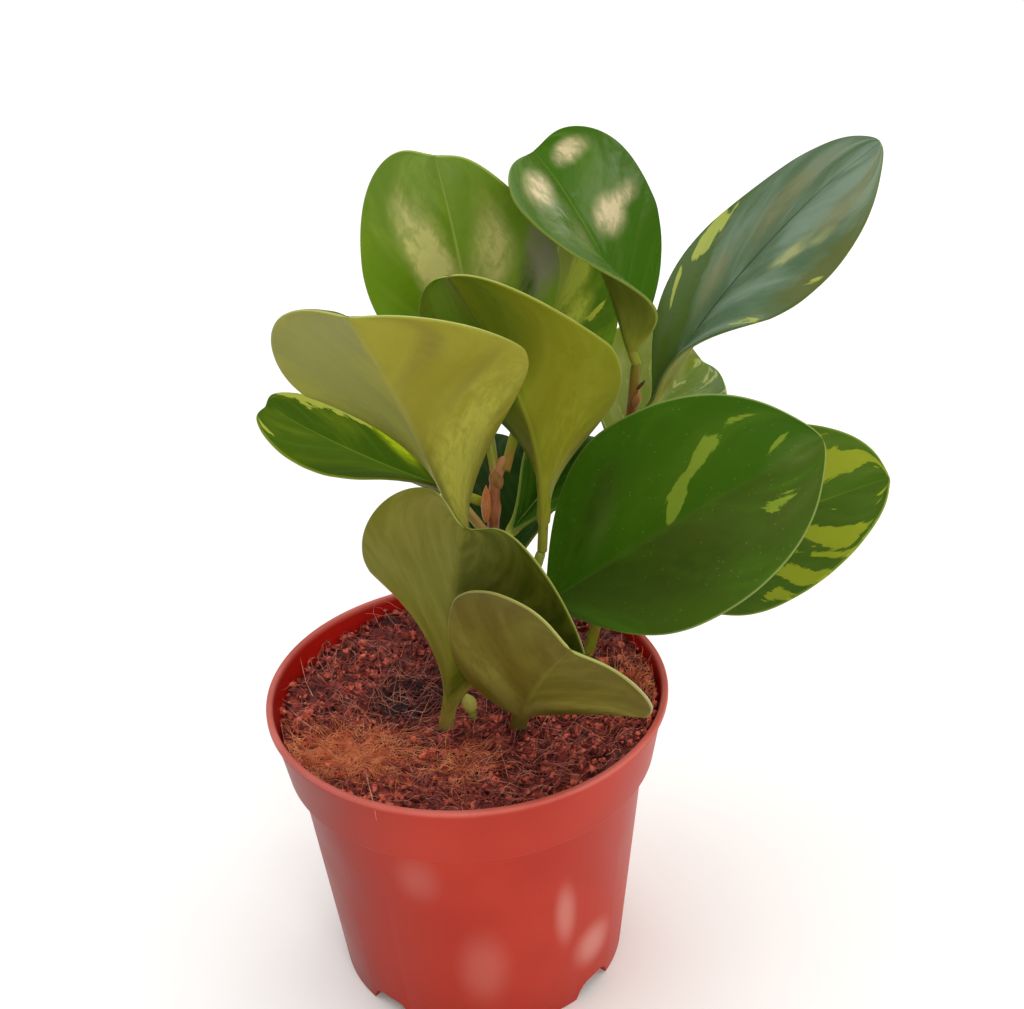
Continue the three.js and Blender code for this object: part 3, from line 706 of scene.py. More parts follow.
def leaf_blade(name, seed, foot, heading, rise, roll, petiole, lift, length, width, bend, swing, twist,
               fold, curl, gutter, upper, lower, root=2, widest=(0.57, 0.57), notch=0.04, blunt=(2.2, 2.2),
               wedge=(1.15, 1.15), stalk=PETIOLE_RADIUS):
    """A leaf grown from a grid: its columns run round each section, from the left rim over the upper face.

    Heading, rise and roll turn its foot. Lift turns the petiole, and bend, swing and twist turn the blade.
    Fold is the slope at the rib, curl is what it gains to the rim, and gutter what it gains at the base.
    Where two values stand, they are the right and the left half's.
    """
    start = (Matrix.Rotation(math.radians(heading), 3, "Z") @ Matrix.Rotation(math.radians(-rise), 3, "Y")
             @ Matrix.Rotation(math.radians(roll), 3, "X"))
    rings = leaf_rings(petiole, lift, length, bend, swing, twist, start, root, Vector(foot))
    turn = np.linspace(0, math.tau, LEAF_AROUND + 1)
    across = np.cos(turn)
    across[[LEAF_AROUND // 4, 3 * LEAF_AROUND // 4]] = 0
    reach = np.abs(across)
    places, spots = [], []
    for number, (share, centre, turned) in enumerate(rings):
        on_blade = max(0, share)
        if on_blade == 0:
            half_widths = [0 if number == 0 else stalk] * 2
            middle, rim = 2 * PETIOLE_RADIUS, 0.0
        else:
            half_widths = [half_width_at(share, width, *half, stalk) for half in zip(widest, blunt, wedge)]
            spread = eased(share, 0, 0.12)
            middle = 2 * PETIOLE_RADIUS * (1 - spread) + BLADE_THICKNESS * spread
            middle += (RIM_THICKNESS - middle) * eased(share, 0.85, 1)
            rim = RIM_THICKNESS * spread
        base_fold = gutter * (1 - on_blade) ** 3
        side_way, up_way, lean_way = np.zeros_like(across), np.zeros_like(across), np.zeros_like(across)
        for index, side in ((0, -1), (1, 1)):
            slope = math.radians(fold[index] + base_fold) if on_blade else 0
            gain = math.radians(curl[index] * min(1, 2.2 * on_blade))
            chosen = across * side > 0
            out, up, lean = folded_half(reach[chosen], half_widths[index], slope, gain)
            side_way[chosen] = out * side
            up_way[chosen] = up
            lean_way[chosen] = lean * side
        half_width = np.where(across < 0, half_widths[0], half_widths[1])
        from_edge = (1 - reach) * half_width
        half = (rim + (middle - rim) * np.sqrt(np.maximum(0, 1 - reach ** 2))) / 2
        if rim > 0:
            near_edge = np.clip(from_edge / (rim / 2), 0, 1)
            half = half * np.sqrt(np.maximum(0, 1 - (1 - near_edge) ** 2))
        ribbed = math.sin(math.pi * min(1, on_blade * 1.02)) if on_blade else 0
        phase = (on_blade - VEIN_LEAN * reach) * VEINS
        vein = np.exp(-((phase - np.round(phase)) / 0.09) ** 2) * np.sin(math.pi * reach) * ribbed
        keel = KEEL * (1 - on_blade) ** 1.5 * min(1, on_blade / 0.1)
        rib = np.exp(-(reach * half_width / 0.9) ** 2)
        upper_out = half - 0.3 * rib * ribbed - 0.1 * vein
        lower_out = -half - keel * rib - 0.25 * rib * ribbed - 0.07 * vein
        out = np.where(turn < math.pi, upper_out, lower_out)
        ripple = np.array([
            noise.noise(Vector((share * 4.5, side * 2.2, seed * 7.3)))
            + 0.4 * noise.noise(Vector((share * 11, side * 5, seed)))
            for side in across
        ])
        out = out + RIPPLE * ripple * min(1, on_blade * 5) * (0.5 + 0.5 * reach)
        back = -notch * length * on_blade ** 8 * np.exp(-((reach * half_width) ** 2) / 60)
        local = np.stack([back, side_way - np.sin(lean_way) * out, up_way + np.cos(lean_way) * out])
        placed = (np.array(turned) @ local).T + np.array(centre)
        places.append(placed * MM)
        spots.append(np.stack([np.full_like(across, share), across, from_edge], axis=1))
    blade = bmesh.new()
    blade.loops.layers.uv.new("skin_map")
    bmesh.ops.create_grid(blade, x_segments=LEAF_ALONG, y_segments=LEAF_AROUND, size=0.5, calc_uvs=True)
    for face in blade.faces:
        face.material_index = 0 if face.calc_center_median().y < 0 else 1
    spot = blade.verts.layers.float_vector.new("leaf_spot")
    for point in blade.verts:
        ring = round((point.co.x + 0.5) * LEAF_ALONG)
        column = round((point.co.y + 0.5) * LEAF_AROUND)
        point[spot] = spots[ring][column]
        point.co = places[ring][column]
    bmesh.ops.remove_doubles(blade, verts=blade.verts, dist=0.003 * MM)
    bmesh.ops.recalc_face_normals(blade, faces=blade.faces)
    plain = name.removesuffix("_leaf")
    skins = [upper_skin(plain + "_green", seed, **upper), lower_skin(plain + "_back", seed, **lower)]
    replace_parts(as_piece(name + "_blade", blade, skins), name)


def group_of(name, inputs, outputs):
    """A shader node group with named inputs and outputs, its given values, and the node for its results."""
    group = bpy.data.node_groups.new(name, "ShaderNodeTree")
    for socket, kind in inputs.items():
        group.interface.new_socket(socket, in_out="INPUT", socket_type=kind)
    for socket in outputs:
        group.interface.new_socket(socket, in_out="OUTPUT", socket_type="NodeSocketFloat")
    return group, group.nodes.new("NodeGroupInput").outputs, group.nodes.new("NodeGroupOutput")


def drift_way(tree, along, side, seed, along_scale, side_scale):
    """A leaf's places stretched for a noise, so that each seed gives its own."""
    ways = {0: times(tree, along, along_scale), 1: times(tree, side, side_scale), 2: seed}
    return put(tree, "ShaderNodeCombineXYZ", ways).outputs[0]


def leaf_marks():
    """Where a leaf's veins, rim and the drifts of its colour lie."""
    inputs = {"Spot": "NodeSocketVector", "Seed": "NodeSocketFloat"}
    outputs = ("Streaks", "Clouds", "Crinkles", "Side veins", "Midrib", "Rim", "Flecks")
    group, given, results = group_of("leaf_marks", inputs, outputs)
    share, side, from_edge = split(group, given["Spot"])
    reach = maths(group, "ABSOLUTE", side)
    along = maths(group, "SUBTRACT", share, times(group, reach, VEIN_LEAN))
    # Streaks and clouds run out from the midrib along the side veins. Crinkles and flecks lie straight.
    streak_way = drift_way(group, along, side, given["Seed"], 9.0, 2.4)
    cloud_way = drift_way(group, along, side, maths(group, "ADD", given["Seed"], 31.0), 4.0, 1.3)
    crinkle_way = drift_way(group, share, side, given["Seed"], 20.0, 13.0)
    fleck_way = drift_way(group, share, side, given["Seed"], 40.0, 14.0)
    dots = put(group, "ShaderNodeTexVoronoi", {"Vector": fleck_way, "Scale": 1.0}).outputs["Distance"]
    phase = times(group, along, float(VEINS))
    off = maths(group, "SUBTRACT", phase, maths(group, "ROUND", phase))
    line = ramp(group, maths(group, "ABSOLUTE", off), 0.03, 0.16, 1.0, 0.0)
    fade = maths(group, "SINE", times(group, reach, math.pi))
    thin = ramp(group, share, 0.0, 1.0, 0.034, 0.008)
    rim = ramp(group, from_edge, 0.05, 0.4, 1.0, 0.0)
    join(group, results, {
        "Streaks": noise_of(group, streak_way, 1.0, 5, 0.62, 0.5),
        "Clouds": noise_of(group, cloud_way, 1.0, 4, 0.55, 0.3),
        "Crinkles": noise_of(group, crinkle_way, 1.0, 4, 0.6, 0.6),
        "Side veins": times(group, line, fade, clamp=True),
        "Midrib": ramp(group, maths(group, "DIVIDE", reach, thin), 0.5, 1.3, 1.0, 0.0),
        "Rim": times(group, rim, ramp(group, share, 0.0, 0.08)),
        "Flecks": ramp(group, dots, 0.06, 0.13, 1.0, 0.0),
    })
    return group


def leaf_patch():
    """A soft oval, 1 at its middle, in which marks gather. It leans with the side veins or lies straight."""
    inputs = {"Spot": "NodeSocketVector", "Middle": "NodeSocketVector", "Half size": "NodeSocketVector",
              "Lean": "NodeSocketFloat"}
    group, given, results = group_of("leaf_patch", inputs, ("Weight",))
    share, side, _ = split(group, given["Spot"])
    lag = times(group, maths(group, "ABSOLUTE", side), given["Lean"])
    oval_way = put(group, "ShaderNodeCombineXYZ", {0: maths(group, "SUBTRACT", share, lag), 1: side})
    far = distance_of(group, oval_way.outputs[0], given["Middle"], given["Half size"])
    join(group, results, {"Weight": ramp(group, far, 0.0, 1.4, 1.0, 0.0)})
    return group


MARKS = leaf_marks()
PATCH = leaf_patch()


def patches_of(tree, spot, patches, value, lean=VEIN_LEAN):
    """Raises the value inside each patch, given as share, across, half share, half across and how much."""
    for share, side, half_share, half_side, amount in patches:
        oval = put(tree, "ShaderNodeGroup", {
            "Spot": spot,
            "Middle": (share - lean * abs(side), side, 0),
            "Half size": (half_share, half_side, 1),
            "Lean": lean,
        }, node_tree=PATCH)
        value = maths(tree, "ADD", value, times(tree, oval.outputs["Weight"], amount))
    return value


def washed(tree, spot, marks, washes, lean, colour):
    """Lays soft, crinkled patches of other tints over a colour: some are its tones, some painted sheen,
    light and shade.
    """
    uneven = times(tree, ramp(tree, marks["Streaks"], 0.35, 0.62, 0.65, 1.2),
                   ramp(tree, marks["Crinkles"], 0.36, 0.62, 0.72, 1.2))
    for wash, patches in washes:
        weight = times(tree, patches_of(tree, spot, patches, 0.0, lean), uneven)
        colour = mixed(tree, maths(tree, "MINIMUM", weight, 0.95), colour, wash)
    return colour


def marked_skin(name, seed, ground):
    """A finish with the leaf's marks at hand, and its ground: one tint, or the right and the left half's."""
    material, tree, shader = new_finish(name)
    spot = put(tree, "ShaderNodeAttribute", attribute_name="leaf_spot").outputs["Vector"]
    marks = put(tree, "ShaderNodeGroup", {"Spot": spot, "Seed": seed}, node_tree=MARKS).outputs
    share, side, _ = split(tree, spot)
    right, left = ground if isinstance(ground[0], tuple) else (ground, ground)
    colour = mixed(tree, ramp(tree, side, -0.06, 0.06), right, left)
    return material, tree, shader, spot, marks, share, colour


def upper_skin(name, seed, ground, cloud, yellow, cover=0.0, clouded=0.0, patches=(), washes=(),
               gloss=0.3, shine=0.14, rim=(128, 146, 56), rib=(116, 140, 48), rib_share=0.35, relief=0.35,
               specks=0.2, rim_share=0.5, wash_lean=VEIN_LEAN):
    """The glossy upper side: a ground with clouds of a second green, yellow streaks and a pale rim."""
    material, tree, shader, spot, marks, share, colour = marked_skin(name, seed, ground)
    clouds = maths(tree, "ADD", marks["Clouds"], clouded)
    colour = mixed(tree, ramp(tree, clouds, 0.46, 0.7), colour, cloud)
    colour = washed(tree, spot, marks, washes, wash_lean, colour)
    streaks = patches_of(tree, spot, patches, maths(tree, "ADD", marks["Streaks"], cover))
    colour = layered(tree, colour, [
        (ramp(tree, streaks, 0.65, 0.7, 0.0, 0.9), yellow),
        (times(tree, marks["Side veins"], VEIN_SHARE), rib),
        (times(tree, marks["Midrib"], rib_share), rib),
        (times(tree, marks["Flecks"], specks), rim),
        (ramp(tree, share, -0.02, 0.06, 1.0, 0.0), PETIOLE_GREEN),
        (ramp(tree, share, -0.21, -0.13, 0.6, 0.0), PETIOLE_FOOT),
        (times(tree, marks["Rim"], rim_share), rim),
    ])
    place = object_place(tree)
    pores = noise_of(tree, place, 700, 3)
    bulges = noise_of(tree, place, 130, 2)
    join(tree, shader, {
        "Base Color": colour,
        "Roughness": ramp(tree, marks["Clouds"], 0.3, 0.7, gloss - 0.04, gloss + 0.08),
        "Specular IOR Level": shine,
        "Normal": bumped(tree, maths(tree, "ADD", times(tree, pores, 0.12), bulges), relief, 0.6 * MM),
    } | translucent(0.08, LEAF_DEPTH))
    return material


def lower_skin(name, seed, ground, cloud, rim=(138, 148, 60), rib=(150, 148, 50), rib_share=0.5, washes=(),
               clouded=0.0, dots=0.0):
    """The matt underside: olive with soft drifts, a raised yellow-green midrib and a pale rim."""
    material, tree, shader, spot, marks, share, colour = marked_skin(name, seed, ground)
    clouds = maths(tree, "ADD", marks["Clouds"], clouded)
    colour = mixed(tree, ramp(tree, clouds, 0.42, 0.66), colour, cloud)
    colour = washed(tree, spot, marks, washes, VEIN_LEAN, colour)
    colour = layered(tree, colour, [
        (ramp(tree, marks["Streaks"], 0.4, 0.65, 0.0, 0.15), rib),
        (times(tree, marks["Side veins"], VEIN_SHARE), rib),
        (times(tree, marks["Midrib"], rib_share), rib),
        (times(tree, marks["Flecks"], dots), BACK_DOTS),
        (ramp(tree, share, 0.0, 0.12, 0.7, 0.0), rib),
        (times(tree, marks["Rim"], 0.6), rim),
    ])
    join(tree, shader, {
        "Base Color": colour,
        "Roughness": 0.5,
        "Specular IOR Level": 0.07,
        "Normal": bumped(tree, noise_of(tree, object_place(tree), 500, 3), 0.2, 0.3 * MM),
    } | translucent(0.12, LEAF_DEPTH))
    return material


# The leaves at the top: three glossy ones, and the streaked one that stands behind them.
leaf_blade(
    "upper_left_leaf", 1,
    foot=(10.4, 16, 137.5), heading=107, rise=66, roll=-9, petiole=15, lift=8, length=72, width=51,
    bend=30, swing=0, twist=40, fold=(2, -3), curl=(2, 0), gutter=37, blunt=(1.5, 2.4),
    upper=dict(
        ground=((122, 154, 42), (106, 140, 18)), cloud=(138, 160, 46), yellow=(170, 178, 84), cover=-0.1,
        clouded=-0.04, rib=(176, 188, 92), rib_share=0.6, relief=0.8, shine=0.2,
        washes=[
            ((132, 162, 50), [(0.9, 0.3, 0.2, 0.6, 1.0)]),
            # This pale beige wash is a painted sheen.
            ((212, 206, 126), [
                (0.54, 0.24, 0.22, 0.24, 1.3), (0.7, 0.5, 0.12, 0.2, 0.9), (0.6, -0.36, 0.17, 0.28, 1.0),
            ]),
            # This grey wash is a painted reflection.
            ((150, 146, 120), [(0.56, -0.84, 0.13, 0.24, 1.3)]),
            ((70, 96, 22), [(0.44, -0.66, 0.14, 0.12, 0.9)]),
        ],
    ),
    lower=dict(ground=(112, 120, 36), cloud=(128, 134, 48)),
)
leaf_blade(
    "top_leaf", 2,
    foot=(46.5, 14.5, 167.3), root=0.5, heading=163, rise=66, roll=15, petiole=3, lift=12, length=57,
    width=53, bend=-29, swing=-2, twist=45, fold=(7, 23), curl=(7, -8), gutter=47, widest=(0.5, 0.6),
    notch=0.04, blunt=(2.1, 2.6), wedge=(1.16, 0.89),
    upper=dict(
        ground=((58, 98, 12), (62, 94, 16)), cloud=(76, 112, 30), yellow=(140, 160, 60), cover=-0.2,
        clouded=-0.05, gloss=0.24, shine=0.16, relief=0.5, wash_lean=0,
        # The beige wash is painted glints, reflections of the windows.
        washes=[
            ((204, 188, 148), [
                (0.555, -0.36, 0.085, 0.22, 1.15), (0.585, -0.66, 0.05, 0.2, 0.6),
                (0.88, -0.46, 0.055, 0.3, 1.1), (0.835, 0.48, 0.08, 0.3, 1.0),
            ]),
        ],
    ),
    lower=dict(ground=(112, 120, 36), cloud=(128, 134, 48)),
)
leaf_blade(
    "top_right_leaf", 3,
    foot=(43.8, 16.3, 143.3), root=0.5, heading=30, rise=44, roll=-14, petiole=10, lift=8, length=86,
    width=53, bend=-12, swing=29, twist=4, fold=(3, 0), curl=(-31, 0), gutter=69, notch=-0.02,
    wedge=(1.62, 1.62),
    upper=dict(
        # Its grey-teal ground and clouds are green with a painted reflection of the sky.
        ground=((72, 98, 66), (76, 100, 66)), cloud=(112, 132, 110), yellow=(158, 168, 66), cover=-0.04,
        clouded=0.03, rim=(84, 98, 48), rib=(44, 62, 38), rib_share=0.75, shine=0.16,
        patches=[
            (0.5, 0.82, 0.1, 0.2, 0.4), (0.36, 0.84, 0.05, 0.16, 0.26), (0.42, -0.9, 0.14, 0.12, 0.26),
            (0.84, -0.86, 0.1, 0.12, 0.13), (0.64, -0.94, 0.06, 0.08, 0.14),
        ],
        washes=[
            ((62, 86, 8), [(0.32, 0.85, 0.3, 0.6, 2.2), (0.14, 0.5, 0.26, 0.8, 2.2)]),
            ((120, 120, 80), [
                (0.74, 0.4, 0.14, 0.3, 0.8), (0.42, 0.3, 0.1, 0.2, 0.6), (0.86, -0.6, 0.18, 0.2, 0.7),
            ]),
            ((82, 92, 38), [(0.7, -0.95, 0.3, 0.22, 1.3)]),
            ((152, 158, 104), [(0.64, -0.46, 0.07, 0.1, 1.2), (0.74, -0.62, 0.04, 0.08, 0.8)]),
        ],
    ),
    lower=dict(ground=(112, 120, 40), cloud=(128, 134, 56), rib=(190, 190, 98)),
)
leaf_blade(
    "upright_leaf", 4,
    foot=(13.8, 17, 141), root=3, heading=65, rise=49, roll=74, petiole=12, lift=6, length=57, width=44,
    bend=-1, swing=6, twist=-6, fold=(7, 12), curl=(6, 7), gutter=44,
    upper=dict(
        ground=((72, 106, 14), (140, 154, 36)), cloud=(104, 134, 22), yellow=(162, 172, 56), cover=0.04,
        gloss=0.4, shine=0.02,
        patches=[(0.6, -0.55, 0.04, 0.16, 0.16), (0.5, -0.7, 0.03, 0.16, 0.14)],
        washes=[
            ((174, 184, 66), [(0.7, -0.1, 0.2, 0.24, 1.4), (0.54, -0.3, 0.1, 0.2, 1.1)]),
            ((62, 92, 12), [(0.66, -0.85, 0.2, 0.24, 0.8), (0.8, 0.4, 0.06, 0.3, 0.4)]),
        ],
    ),
    lower=dict(ground=(112, 120, 36), cloud=(140, 146, 60)),
)

# The two large leaves in the middle, which show their undersides.
leaf_blade(
    "big_left_leaf", 5,
    foot=(8, 11.5, 106.5), root=5, heading=235, rise=61, roll=22, petiole=23, lift=10, length=96,
    width=62, bend=-30, swing=-13, twist=15, fold=(22, 17), curl=(-43, 5), gutter=64, widest=(0.52, 0.64),
    notch=0.01, blunt=(1.8, 1.5), wedge=(1.31, 1.06),
    upper=dict(
        ground=(56, 92, 20), cloud=(84, 114, 34), yellow=(150, 164, 52), rim=(190, 186, 110),
        rim_share=0.8,
    ),
    lower=dict(
        # The halves differ by painted light and shade: grey-green on the right, yellow-olive on the left.
        ground=((132, 133, 66), (142, 136, 44)), cloud=(152, 148, 52), rib=(160, 154, 66), rib_share=0.35,
        washes=[
            # This pale wash is painted light that lifts the shade at the base.
            ((204, 200, 84), [(0.16, 0.2, 0.28, 0.9, 1.1), (0.1, -0.4, 0.26, 0.6, 0.8)]),
            # This grey-green wash is painted shade on the right half.
            ((134, 137, 72), [(0.74, -0.5, 0.3, 0.5, 1.0), (0.42, -0.6, 0.24, 0.5, 1.0)]),
            ((120, 114, 52), [(0.8, 0.5, 0.06, 0.5, 0.6), (0.6, 0.6, 0.04, 0.4, 0.4)]),
        ],
    ),
)
leaf_blade(
    "middle_leaf", 6,
    foot=(21.4, 9.2, 118.9), root=0.6, heading=277, rise=70, roll=-17, petiole=8, lift=10, length=79,
    width=52, bend=-15, swing=34, twist=33, fold=(13, 13), curl=(-20, 0), gutter=98, widest=(0.62, 0.65),
    notch=0, blunt=(2.3, 1.1), wedge=(1.24, 1.26),
    upper=dict(
        ground=(56, 92, 20), cloud=(84, 114, 34), yellow=(150, 164, 52), rim=(180, 176, 100),
        rim_share=0.8,
    ),
    lower=dict(
        ground=((112, 120, 26), (130, 134, 30)), cloud=(128, 128, 28), rib=(166, 166, 62), dots=0.3,
        washes=[
            ((86, 112, 22), [(0.95, 0.5, 0.2, 0.6, 0.6)]),
            # This wash is painted light that lifts the shade on the right half.
            ((130, 162, 40), [(0.86, -0.5, 0.24, 0.6, 1.3), (0.6, -0.7, 0.2, 0.4, 0.8)]),
            # This wash is painted light that lifts the shade at the base.
            ((166, 164, 46), [(0.2, 0.3, 0.3, 0.6, 0.8)]),
        ],
    ),
)

# The leaves that reach out to the left, and the small ones seen between the stems.
leaf_blade(
    "far_left_leaf", 7,
    foot=(9.8, 14.6, 128.7), root=0.5, heading=164, rise=20, roll=4, petiole=10, lift=-5, length=57,
    width=52, bend=18, swing=-6, twist=-2, fold=(-5, 8), curl=(0, 0), gutter=35,
    upper=dict(
        ground=((54, 80, 6), (62, 88, 8)), cloud=(78, 98, 12), yellow=(156, 162, 62), cover=-0.06,
        gloss=0.5, shine=0.01,
        patches=[(0.7, -0.92, 0.42, 0.38, 0.44), (0.9, 0.85, 0.06, 0.14, 0.3)],
        washes=[
            ((150, 168, 16), [(0.42, -0.7, 0.1, 0.4, 1.6)]),
        ],
    ),
    lower=dict(ground=(104, 112, 32), cloud=(120, 126, 44)),
)
leaf_blade(
    "small_left_leaf", 8,
    foot=(8.6, 13.8, 119), root=0.5, heading=122, rise=20, roll=5, petiole=19, lift=-4, length=44,
    width=30, bend=-30, swing=-4, twist=1, fold=(24, 22), curl=(14, 13), gutter=28,
    upper=dict(ground=(100, 116, 14), cloud=(112, 130, 22), yellow=(150, 160, 60)),
    lower=dict(ground=(112, 120, 32), cloud=(128, 134, 48)),
)
leaf_blade(
    "bright_middle_leaf", 9,
    foot=(9.2, 13.6, 116), root=0.5, heading=55, rise=16, roll=27, petiole=7, lift=1, length=40, width=35,
    bend=12, swing=4, twist=2, fold=(31, 48), curl=(20, 15), gutter=32,
    upper=dict(
        ground=((56, 96, 14), (60, 100, 16)), cloud=(72, 112, 24), yellow=(150, 164, 60),
        rim=(150, 164, 92), rib=(140, 156, 84), rib_share=0.7,
    ),
    lower=dict(ground=(96, 108, 28), cloud=(120, 128, 44)),
)
leaf_blade(
    "dark_middle_leaf", 10,
    foot=(7.1, 13.6, 97.5), root=0.5, heading=74, rise=14, roll=-2, petiole=4, lift=1, length=56,
    width=48, bend=19, swing=-4, twist=0, fold=(32, 40), curl=(15, 16), gutter=39,
    upper=dict(ground=(30, 56, 12), cloud=(40, 70, 16), yellow=(120, 140, 40), cover=-0.2),
    lower=dict(ground=(72, 84, 22), cloud=(88, 98, 30)),
)
leaf_blade(
    "pale_back_leaf", 11,
    foot=(41.5, 18.5, 128), heading=80, rise=10, roll=26, petiole=7, lift=-2, length=51, width=48,
    bend=45, swing=38, twist=12, fold=(35, 21), curl=(13, 11), gutter=30, widest=(0.6, 0.6), notch=0.03,
    upper=dict(
        ground=((104, 126, 52), (120, 136, 42)), cloud=(146, 156, 86), yellow=(178, 184, 110), cover=0.08,
        clouded=0.04, gloss=0.35, rim=(186, 190, 120),
        washes=[
            ((104, 130, 84), [(0.84, -0.7, 0.3, 0.4, 0.7)]),
        ],
    ),
    lower=dict(ground=(116, 124, 48), cloud=(140, 148, 72)),
)

# The two large leaves at the right: a dark one with yellow flecks, and a strongly streaked one behind it.
leaf_blade(
    "big_right_leaf", 12,
    foot=(17.1, 8.1, 99.3), root=0.3, heading=-18, rise=41, roll=50, petiole=5, lift=0, length=87,
    width=59, bend=-6, swing=3, twist=-10, fold=(14, 21), curl=(8, 14), gutter=18, widest=(0.52, 0.52),
    notch=-0.02, wedge=(1.2, 1.2),
    upper=dict(
        ground=((66, 92, 22), (60, 100, 14)), cloud=(74, 112, 22), yellow=(132, 156, 48), cover=-0.08,
        clouded=-0.02, gloss=0.4, shine=0.08, rim=(150, 166, 96), rib=(80, 104, 32), specks=0.3,
        patches=[
            (0.74, 0.45, 0.06, 0.2, 0.42), (0.57, 0.19, 0.055, 0.18, 0.4), (0.88, 0.7, 0.06, 0.16, 0.24),
            (0.86, -0.45, 0.08, 0.24, 0.3), (0.95, 0.3, 0.06, 0.24, 0.18), (0.62, -0.5, 0.06, 0.24, 0.2),
            (0.5, 0.02, 0.08, 0.12, 0.16),
        ],
        washes=[
            ((100, 120, 56), [(0.33, 0.4, 0.07, 0.24, 0.5), (0.94, 0.1, 0.08, 0.5, 0.5)]),
            ((78, 110, 22), [(0.55, 0.35, 0.24, 0.4, 0.5)]),
            ((52, 84, 10), [(0.2, 0.5, 0.2, 0.6, 0.7)]),
            ((56, 72, 22), [(0.5, -0.45, 0.3, 0.4, 0.6), (0.4, 0.6, 0.16, 0.2, 0.5)]),
            ((80, 86, 40), [(0.62, -0.16, 0.2, 0.2, 0.3), (0.88, -0.6, 0.14, 0.3, 0.4)]),
        ],
    ),
    lower=dict(ground=(104, 112, 32), cloud=(120, 126, 44)),
)
leaf_blade(
    "lower_right_leaf", 13,
    foot=(38.5, 20, 97), heading=14, rise=20, roll=54, petiole=5, lift=14, length=80, width=53, bend=27,
    swing=12, twist=15, fold=(23, 22), curl=(15, 14), gutter=20, widest=(0.5, 0.5), notch=0.02,
    blunt=(2, 2), wedge=(1.1, 1.1),
    upper=dict(
        ground=((80, 110, 36), (80, 116, 28)), cloud=(94, 124, 40), yellow=(168, 180, 50), cover=0.02,
        clouded=0.02, gloss=0.4, shine=0.08, rib=(140, 150, 56),
        patches=[
            (0.89, 0.5, 0.11, 0.4, 0.36), (0.79, -0.58, 0.08, 0.42, 0.42), (0.64, -0.8, 0.065, 0.36, 0.4),
            (0.98, -0.4, 0.04, 0.14, 0.3), (0.75, -0.75, 0.03, 0.3, 0.24), (0.52, -0.86, 0.06, 0.2, 0.26),
        ],
    ),
    lower=dict(ground=(104, 112, 32), cloud=(130, 138, 52)),
)

# The two leaves at the front, which stand straight in the soil and show their undersides.
leaf_blade(
    "lower_left_leaf", 14,
    foot=(-6, -5.5, 75), root=12, heading=281, rise=58, roll=-24, petiole=4, lift=0, length=83, width=64,
    bend=26, swing=9, twist=29, fold=(19, 9), curl=(-20, -8), gutter=83, widest=(0.54, 0.54), notch=0.08,
    wedge=(1, 1), stalk=2,
    upper=dict(
        ground=(50, 84, 16), cloud=(70, 104, 26), yellow=(140, 156, 48), rim=(170, 168, 100),
        rim_share=0.8,
    ),
    lower=dict(
        ground=((108, 106, 26), (76, 82, 12)), cloud=(112, 114, 26), clouded=-0.06, rib=(176, 166, 84),
        rib_share=0.05,
        washes=[
            # This wash is painted light that lifts the shade at the base.
            ((158, 154, 62), [(0.14, 0.4, 0.2, 0.8, 0.8), (0.14, -0.4, 0.2, 0.8, 0.9)]),
        ],
    ),
)
leaf_blade(
    "front_leaf", 15,
    foot=(12.7, -8.3, 76), root=12, heading=279, rise=50, roll=-23, petiole=14, lift=-2, length=82,
    width=53, bend=-4, swing=-8, twist=14, fold=(11, 15), curl=(11, -21), gutter=-8, widest=(0.59, 0.5),
    notch=0.06, blunt=(1.6, 1.6), wedge=(0.52, 0.87), stalk=2.2,
    upper=dict(
        ground=(50, 84, 16), cloud=(70, 104, 26), yellow=(140, 156, 48), rim=(176, 174, 104),
        rim_share=0.8,
    ),
    lower=dict(
        ground=((94, 84, 24), (92, 86, 26)), cloud=(102, 96, 28), clouded=-0.04, dots=0.5,
        rib=(136, 132, 56), rib_share=0.2, rim=(164, 164, 92),
        washes=[
            # This wash is painted light that lifts the shade at the base.
            ((132, 126, 54), [(0.16, 0.3, 0.16, 0.9, 1.0), (0.2, -0.4, 0.2, 0.7, 0.8)]),
        ],
    ),
)

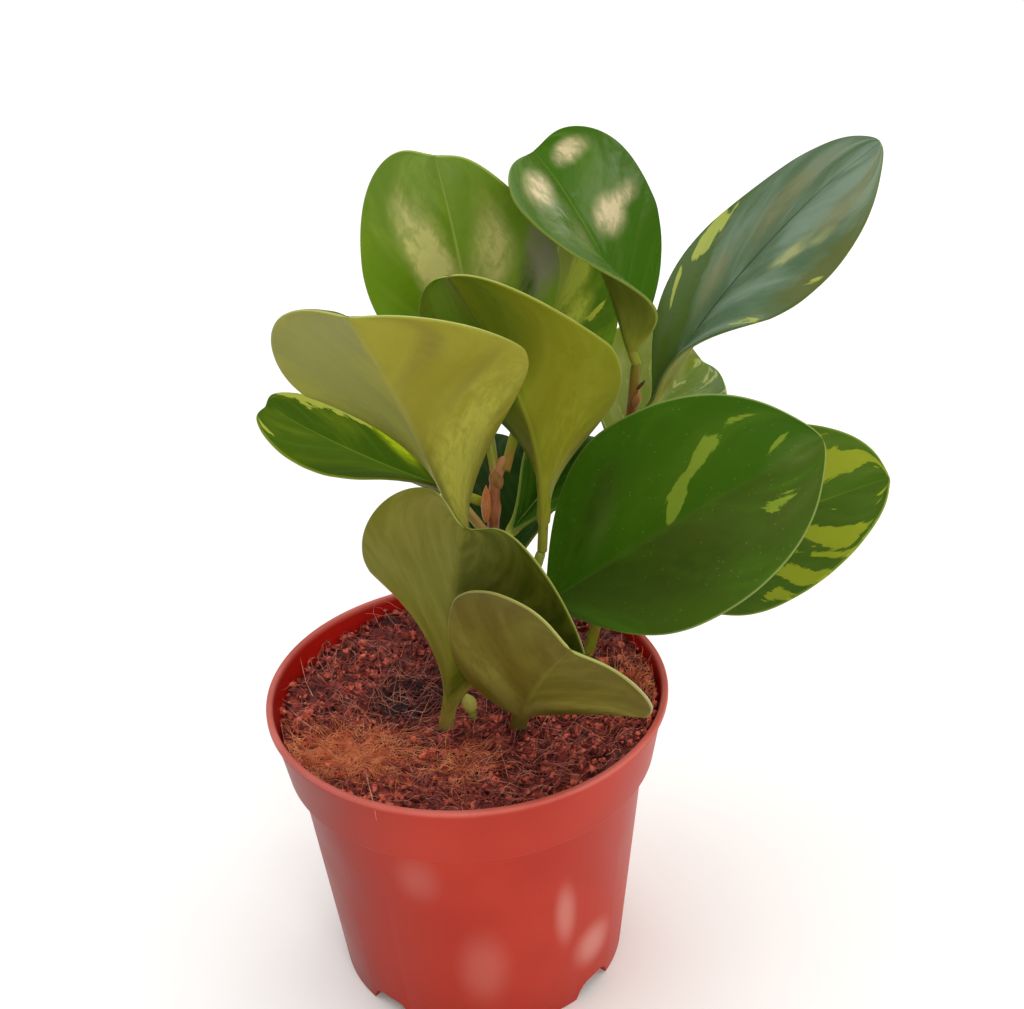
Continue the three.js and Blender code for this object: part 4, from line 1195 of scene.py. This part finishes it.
# ---- Floor and light ----
# A plain pale floor in a dim room. A wide soft ceiling lights it evenly, a softbox stands in front, and
# small warm panels at the right and a bluish one at the back left give the leaves their glints.

FLOOR_HALF = 6
floor_shape = bmesh.new()
bmesh.ops.create_grid(floor_shape, x_segments=1, y_segments=1, size=FLOOR_HALF)
floor_mesh = bpy.data.meshes.new("floor")
floor_shape.to_mesh(floor_mesh)
floor_shape.free()
floor = bpy.data.objects.new("floor", floor_mesh)
floor_paint, _, floor_shader = new_finish("floor_paint")
floor_shader.inputs["Base Color"].default_value = (0.9, 0.9, 0.9, 1)
floor_shader.inputs["Roughness"].default_value = 0.9
floor_mesh.materials.append(floor_paint)
bpy.context.scene.collection.objects.link(floor)

room = bpy.data.worlds.new("room")
room.use_nodes = True
room.node_tree.nodes["Background"].inputs["Color"].default_value = (1.0, 0.97, 0.92, 1)
room.node_tree.nodes["Background"].inputs["Strength"].default_value = 0.35
bpy.context.scene.world = room


def light_panel(name, at, aim, size, watts, colour=(1, 1, 1)):
    """A flat softbox at a place, facing the point it lights."""
    lamp = bpy.data.lights.new(name, "AREA")
    lamp.shape = "RECTANGLE"
    lamp.size, lamp.size_y = size
    lamp.energy = watts
    lamp.color = colour
    panel = bpy.data.objects.new(name, lamp)
    facing = (Vector(at) - Vector(aim)).to_track_quat("Z", "Y")
    panel.rotation_euler = facing.to_euler()
    panel.location = at
    bpy.context.scene.collection.objects.link(panel)


light_panel("ceiling", (0, 0.8, 2.2), (0, 0.8, 0), (3.6, 3.6), 76)
light_panel("front_softbox", (0.4, -1.5, 0.9), (0, 0, 0.12), (0.9, 0.9), 11, (1, 0.97, 0.9))
light_panel("right_window", (1.1, 0.02, 0.46), (0.04, 0, 0.18), (0.2, 0.24), 1.6, (1, 0.9, 0.74))
light_panel("back_window", (0.62, 0.8, 0.42), (0.03, 0, 0.19), (0.16, 0.3), 0.5, (1, 0.9, 0.74))
light_panel("blue_window", (-0.5, 0.7, 0.7), (0.06, 0, 0.16), (0.4, 0.3), 0.3, (0.7, 0.85, 1))

bpy.context.scene.view_settings.view_transform = "Standard"
